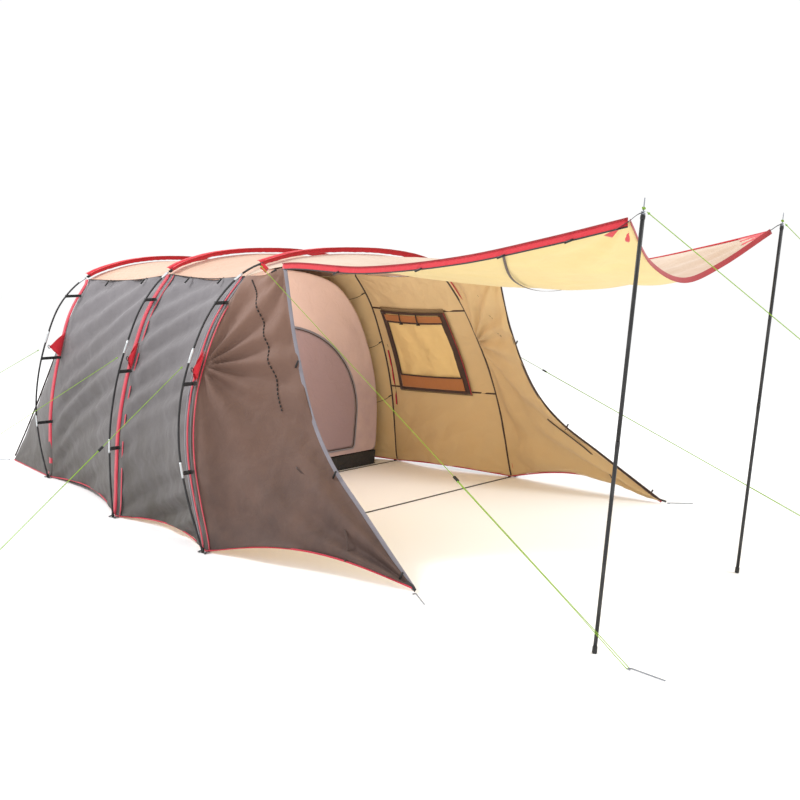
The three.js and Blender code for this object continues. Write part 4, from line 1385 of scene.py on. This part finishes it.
def inner_front_pieces():
    centre = Vector((0.33, 0.70))
    outline = door_outline()
    rings = 26
    verts, faces = [], []
    count = len(outline)
    for j in range(rings + 1):
        for a in outline:
            direction = (a - centre).normalized()
            inner = a + direction * 0.007
            outer = panel_edge(direction, centre)
            p = lerp(inner, outer, j / rings)
            hold = min(1.0, (rings - j) / 5)
            bulge = 0.7 * front_relief(p.x, p.y, 61) * hold * min(1, 0.25 + j / 4)
            verts.append(Vector((p.x, 1.2885 + bulge, p.y)))
    for j in range(rings):
        for k in range(count):
            a, b = j * count + k, j * count + (k + 1) % count
            faces.append((a, b, b + count, a + count))
    panel = add_mesh("inner_front_panel", verts, faces, [INNER, INNER])
    finish_panel(panel)
    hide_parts("inner_tent_front")

    verts, faces = [Vector((centre.x, 1.2885, centre.y))], []
    steps = 22
    for j in range(1, steps + 1):
        for a in outline:
            p = lerp(centre, a, j / steps)
            hold = min(1.0, (steps - j) / 4 + 0.1)
            bulge = 0.9 * front_relief(p.x, p.y, 71) * hold
            verts.append(Vector((p.x, 1.2885 + bulge, p.y)))
    for k in range(count):
        faces.append((0, 1 + k, 1 + (k + 1) % count))
    for j in range(steps - 1):
        for k in range(count):
            a, b = 1 + j * count + k, 1 + j * count + (k + 1) % count
            faces.append((a, a + count, b + count, b))
    door = add_mesh("inner_door_panel", verts, faces, [INNER_DOOR, INNER_DOOR], None)
    finish_panel(door)
    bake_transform(door)
    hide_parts("inner_tent_door")
    closed = outline[4:] + outline[:4]
    rail = [Vector((a.x, 1.2835, a.y)) for a in closed if a.x > -0.32 or a.y > 1.1 or a.y < 0.21]
    zip_line = tube("inner_door_zip", rail, 0.0040, BROWN, 8, None)
    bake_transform(zip_line)
    rim = []
    for a in rail:
        flat = Vector((a.x, a.z))
        away = (flat - centre).normalized()
        rim.append(Vector((a.x + away.x * 0.013, 1.2840, a.z + away.y * 0.013)))
    band("inner_front_zip_tape", rim, Vector((0, -1, 0)), 0.016, 0.0012, GREY_TAPE)
    hinge = [Vector((-0.333, 1.2845, lerp(0.2, 1.15, k / 20))) for k in range(21)]
    band("inner_door_hinge_seam", hinge, Vector((0, -1, 0)), 0.014, 0.0012, GREY_TAPE)


def finish_panel(piece):
    work = bmesh.new()
    work.from_mesh(piece.data)
    bmesh.ops.recalc_face_normals(work, faces=work.faces)
    work.to_mesh(piece.data)
    work.free()
    skin = piece.modifiers.new("thickness", "SOLIDIFY")
    skin.thickness = 0.0012
    skin.offset = 0.0


def tub_point(u, v):
    def climb(share):
        edge = 0.10
        if share < edge:
            return 0.0, 1 - share / edge
        if share > 1 - edge:
            return 1.0, 1 - (1 - share) / edge
        return (share - edge) / (1 - 2 * edge), 0.0

    x_share, x_rise = climb(u)
    y_share, y_rise = climb(v)
    y = lerp(1.278, 3.262, y_share)
    half = lerp(1.222, 0.996, y_share)
    rise = max(x_rise, y_rise)
    lean = 0.02 * (1 - rise) * (1 if rise else 0)
    x = lerp(-half + lean, half - lean, x_share)
    if x_rise > 0 and 0 < x_share < 1:
        x = lerp(-half, half, x_share)
    slump = 0.006 * noise.noise(Vector((x * 5, y * 5, 1)))
    y += 0.01 * math.sin(u * 40) * y_rise * 0.4
    return Vector((x, y, 0.0035 + 0.1255 * rise + slump * rise * (1 - rise)))


def add_inner_tent():
    def relief(u, v, p):
        hold = min(1.0, 8 * v)
        return hold * (crumple(p, 0.012, 2.0, 81) + 0.3 * crumple(p, 0.01, 7, 83))

    shell = cloth_sheet("inner_shell_cloth", inner_shell, 130, 80, INNER, INNER, relief, UP, thickness=0.0012)
    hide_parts("inner_tent_shell")
    inner_front_pieces()
    tub = cloth_sheet("inner_bucket_floor", tub_point, 90, 90, FLOOR_CLOTH, FLOOR_CLOTH,
                      relief=lambda u, v, p: 0.0025 * noise.noise(p * 9) + 0.002, outward=UP,
                      thickness=0.0012)
    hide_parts("inner_tent_floor")
    ties, hooks = [], []
    for side in (-1, 1):
        for z in (0.56, 1.06, 1.50):
            share = z / INNER_FRONT["height"]
            a = Vector((side * INNER_FRONT["width"] * profile_width(share), 1.290, z))
            b = cloth_point(MIDDLE, height_parameter(MIDDLE, z + 0.06, side, cloth_point), 0.006)
            ties.append([lerp(a, b, k / 8) - UP * (0.010 * math.sin(math.pi * k / 8)) for k in range(9)])
            hooks.append([lerp(a, b, 0.78), lerp(a, b, 0.86), lerp(a, b, 0.94)])
    tubes("inner_hanging_elastics", ties, 0.0024, ELASTIC, 8)
    tubes("inner_hanging_hooks", hooks, 0.0046, BLACK_PLASTIC, 10)


def add_ground_strap(label, arch):
    half = arch["width"] - CLOTH_INSET - 0.014
    line = []
    for k in range(81):
        s = k / 80
        bump = 0.0012 * abs(noise.noise(Vector((s * 12, arch["y"], 0))))
        line.append(Vector((lerp(-half, half, s), arch["y"] + 0.003 * math.sin(s * 9), 0.0004 + bump)))
    strap = band(f"{label}_strap_webbing", line, UP, 0.025, 0.0018, BLACK_TAPE)
    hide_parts(f"{label}_ground_strap")
    ends = []
    for side in (-1, 1):
        x = side * (half - 0.02)
        ends.append([Vector((x - 0.014, arch["y"], 0.0055)), Vector((x + 0.014, arch["y"], 0.0055))])
    tubes(f"{label}_strap_buckles", ends, 0.0050, BLACK_PLASTIC, 12)


add_inner_tent()
add_ground_strap("front", FRONT)
add_ground_strap("middle", MIDDLE)
for peg_name in ("near_wing_peg", "far_wing_peg", "rear_corner_peg"):
    dress(peg_name, STEEL)


# ---------------------------------------------------------------- stage and light
def add_stage():
    material, shader = new_material("floor_paper", srgb(254, 254, 254), 0.9)
    nodes = Nodes(material)
    grain = nodes.texture("ShaderNodeTexNoise", 3.0, Detail=2.0)
    share = ranged(nodes, grain.outputs["Fac"], -6.0, 8.0)
    paper = nodes.mix(share, srgb(255, 255, 255), srgb(253, 253, 253))
    nodes.link(paper, shader.inputs["Base Color"])
    data = bpy.data.meshes.new("floor")
    reach = 60.0
    corners = [(x * reach, y * reach, -0.001) for x, y in ((-1, -1), (1, -1), (1, 1), (-1, 1))]
    data.from_pydata(corners, [], [(0, 1, 2, 3)])
    data.materials.append(material)
    floor = bpy.data.objects.new("floor", data)
    bpy.context.collection.objects.link(floor)


def add_lights():
    world = bpy.data.worlds.new("studio")
    bpy.context.scene.world = world
    world.use_nodes = True
    back = world.node_tree.nodes["Background"]
    back.inputs["Color"].default_value = (1.0, 1.0, 1.0, 1.0)
    back.inputs["Strength"].default_value = 1.02
    for name, place, aim, size, power in (
        ("key", (3.0, -9.0, 8.0), (0, 0, 0.8), 4.0, 480.0),
        ("fill", (-4.5, 5.0, 7.5), (-1.4, 0.6, 0.9), 1.6, 420.0),
        ("back", (2.0, 11.0, 7.0), (0, 2, 1.0), 6.0, 160.0),
    ):
        data = bpy.data.lights.new(name, "AREA")
        data.size = size
        data.energy = power
        lamp = bpy.data.objects.new(name, data)
        lamp.location = place
        lamp.rotation_mode = "QUATERNION"
        lamp.rotation_quaternion = (Vector(aim) - Vector(place)).to_track_quat("-Z", "Y")
        bpy.context.collection.objects.link(lamp)
    data = bpy.data.lights.new("daylight_through_the_roof", "POINT")
    data.energy = 18.0
    data.shadow_soft_size = 0.35
    glow = bpy.data.objects.new("daylight_through_the_roof", data)
    glow.location = (-0.1, 0.45, 1.35)
    glow.visible_camera = False
    bpy.context.collection.objects.link(glow)
    bpy.context.scene.view_settings.view_transform = "Standard"


add_stage()
add_lights()
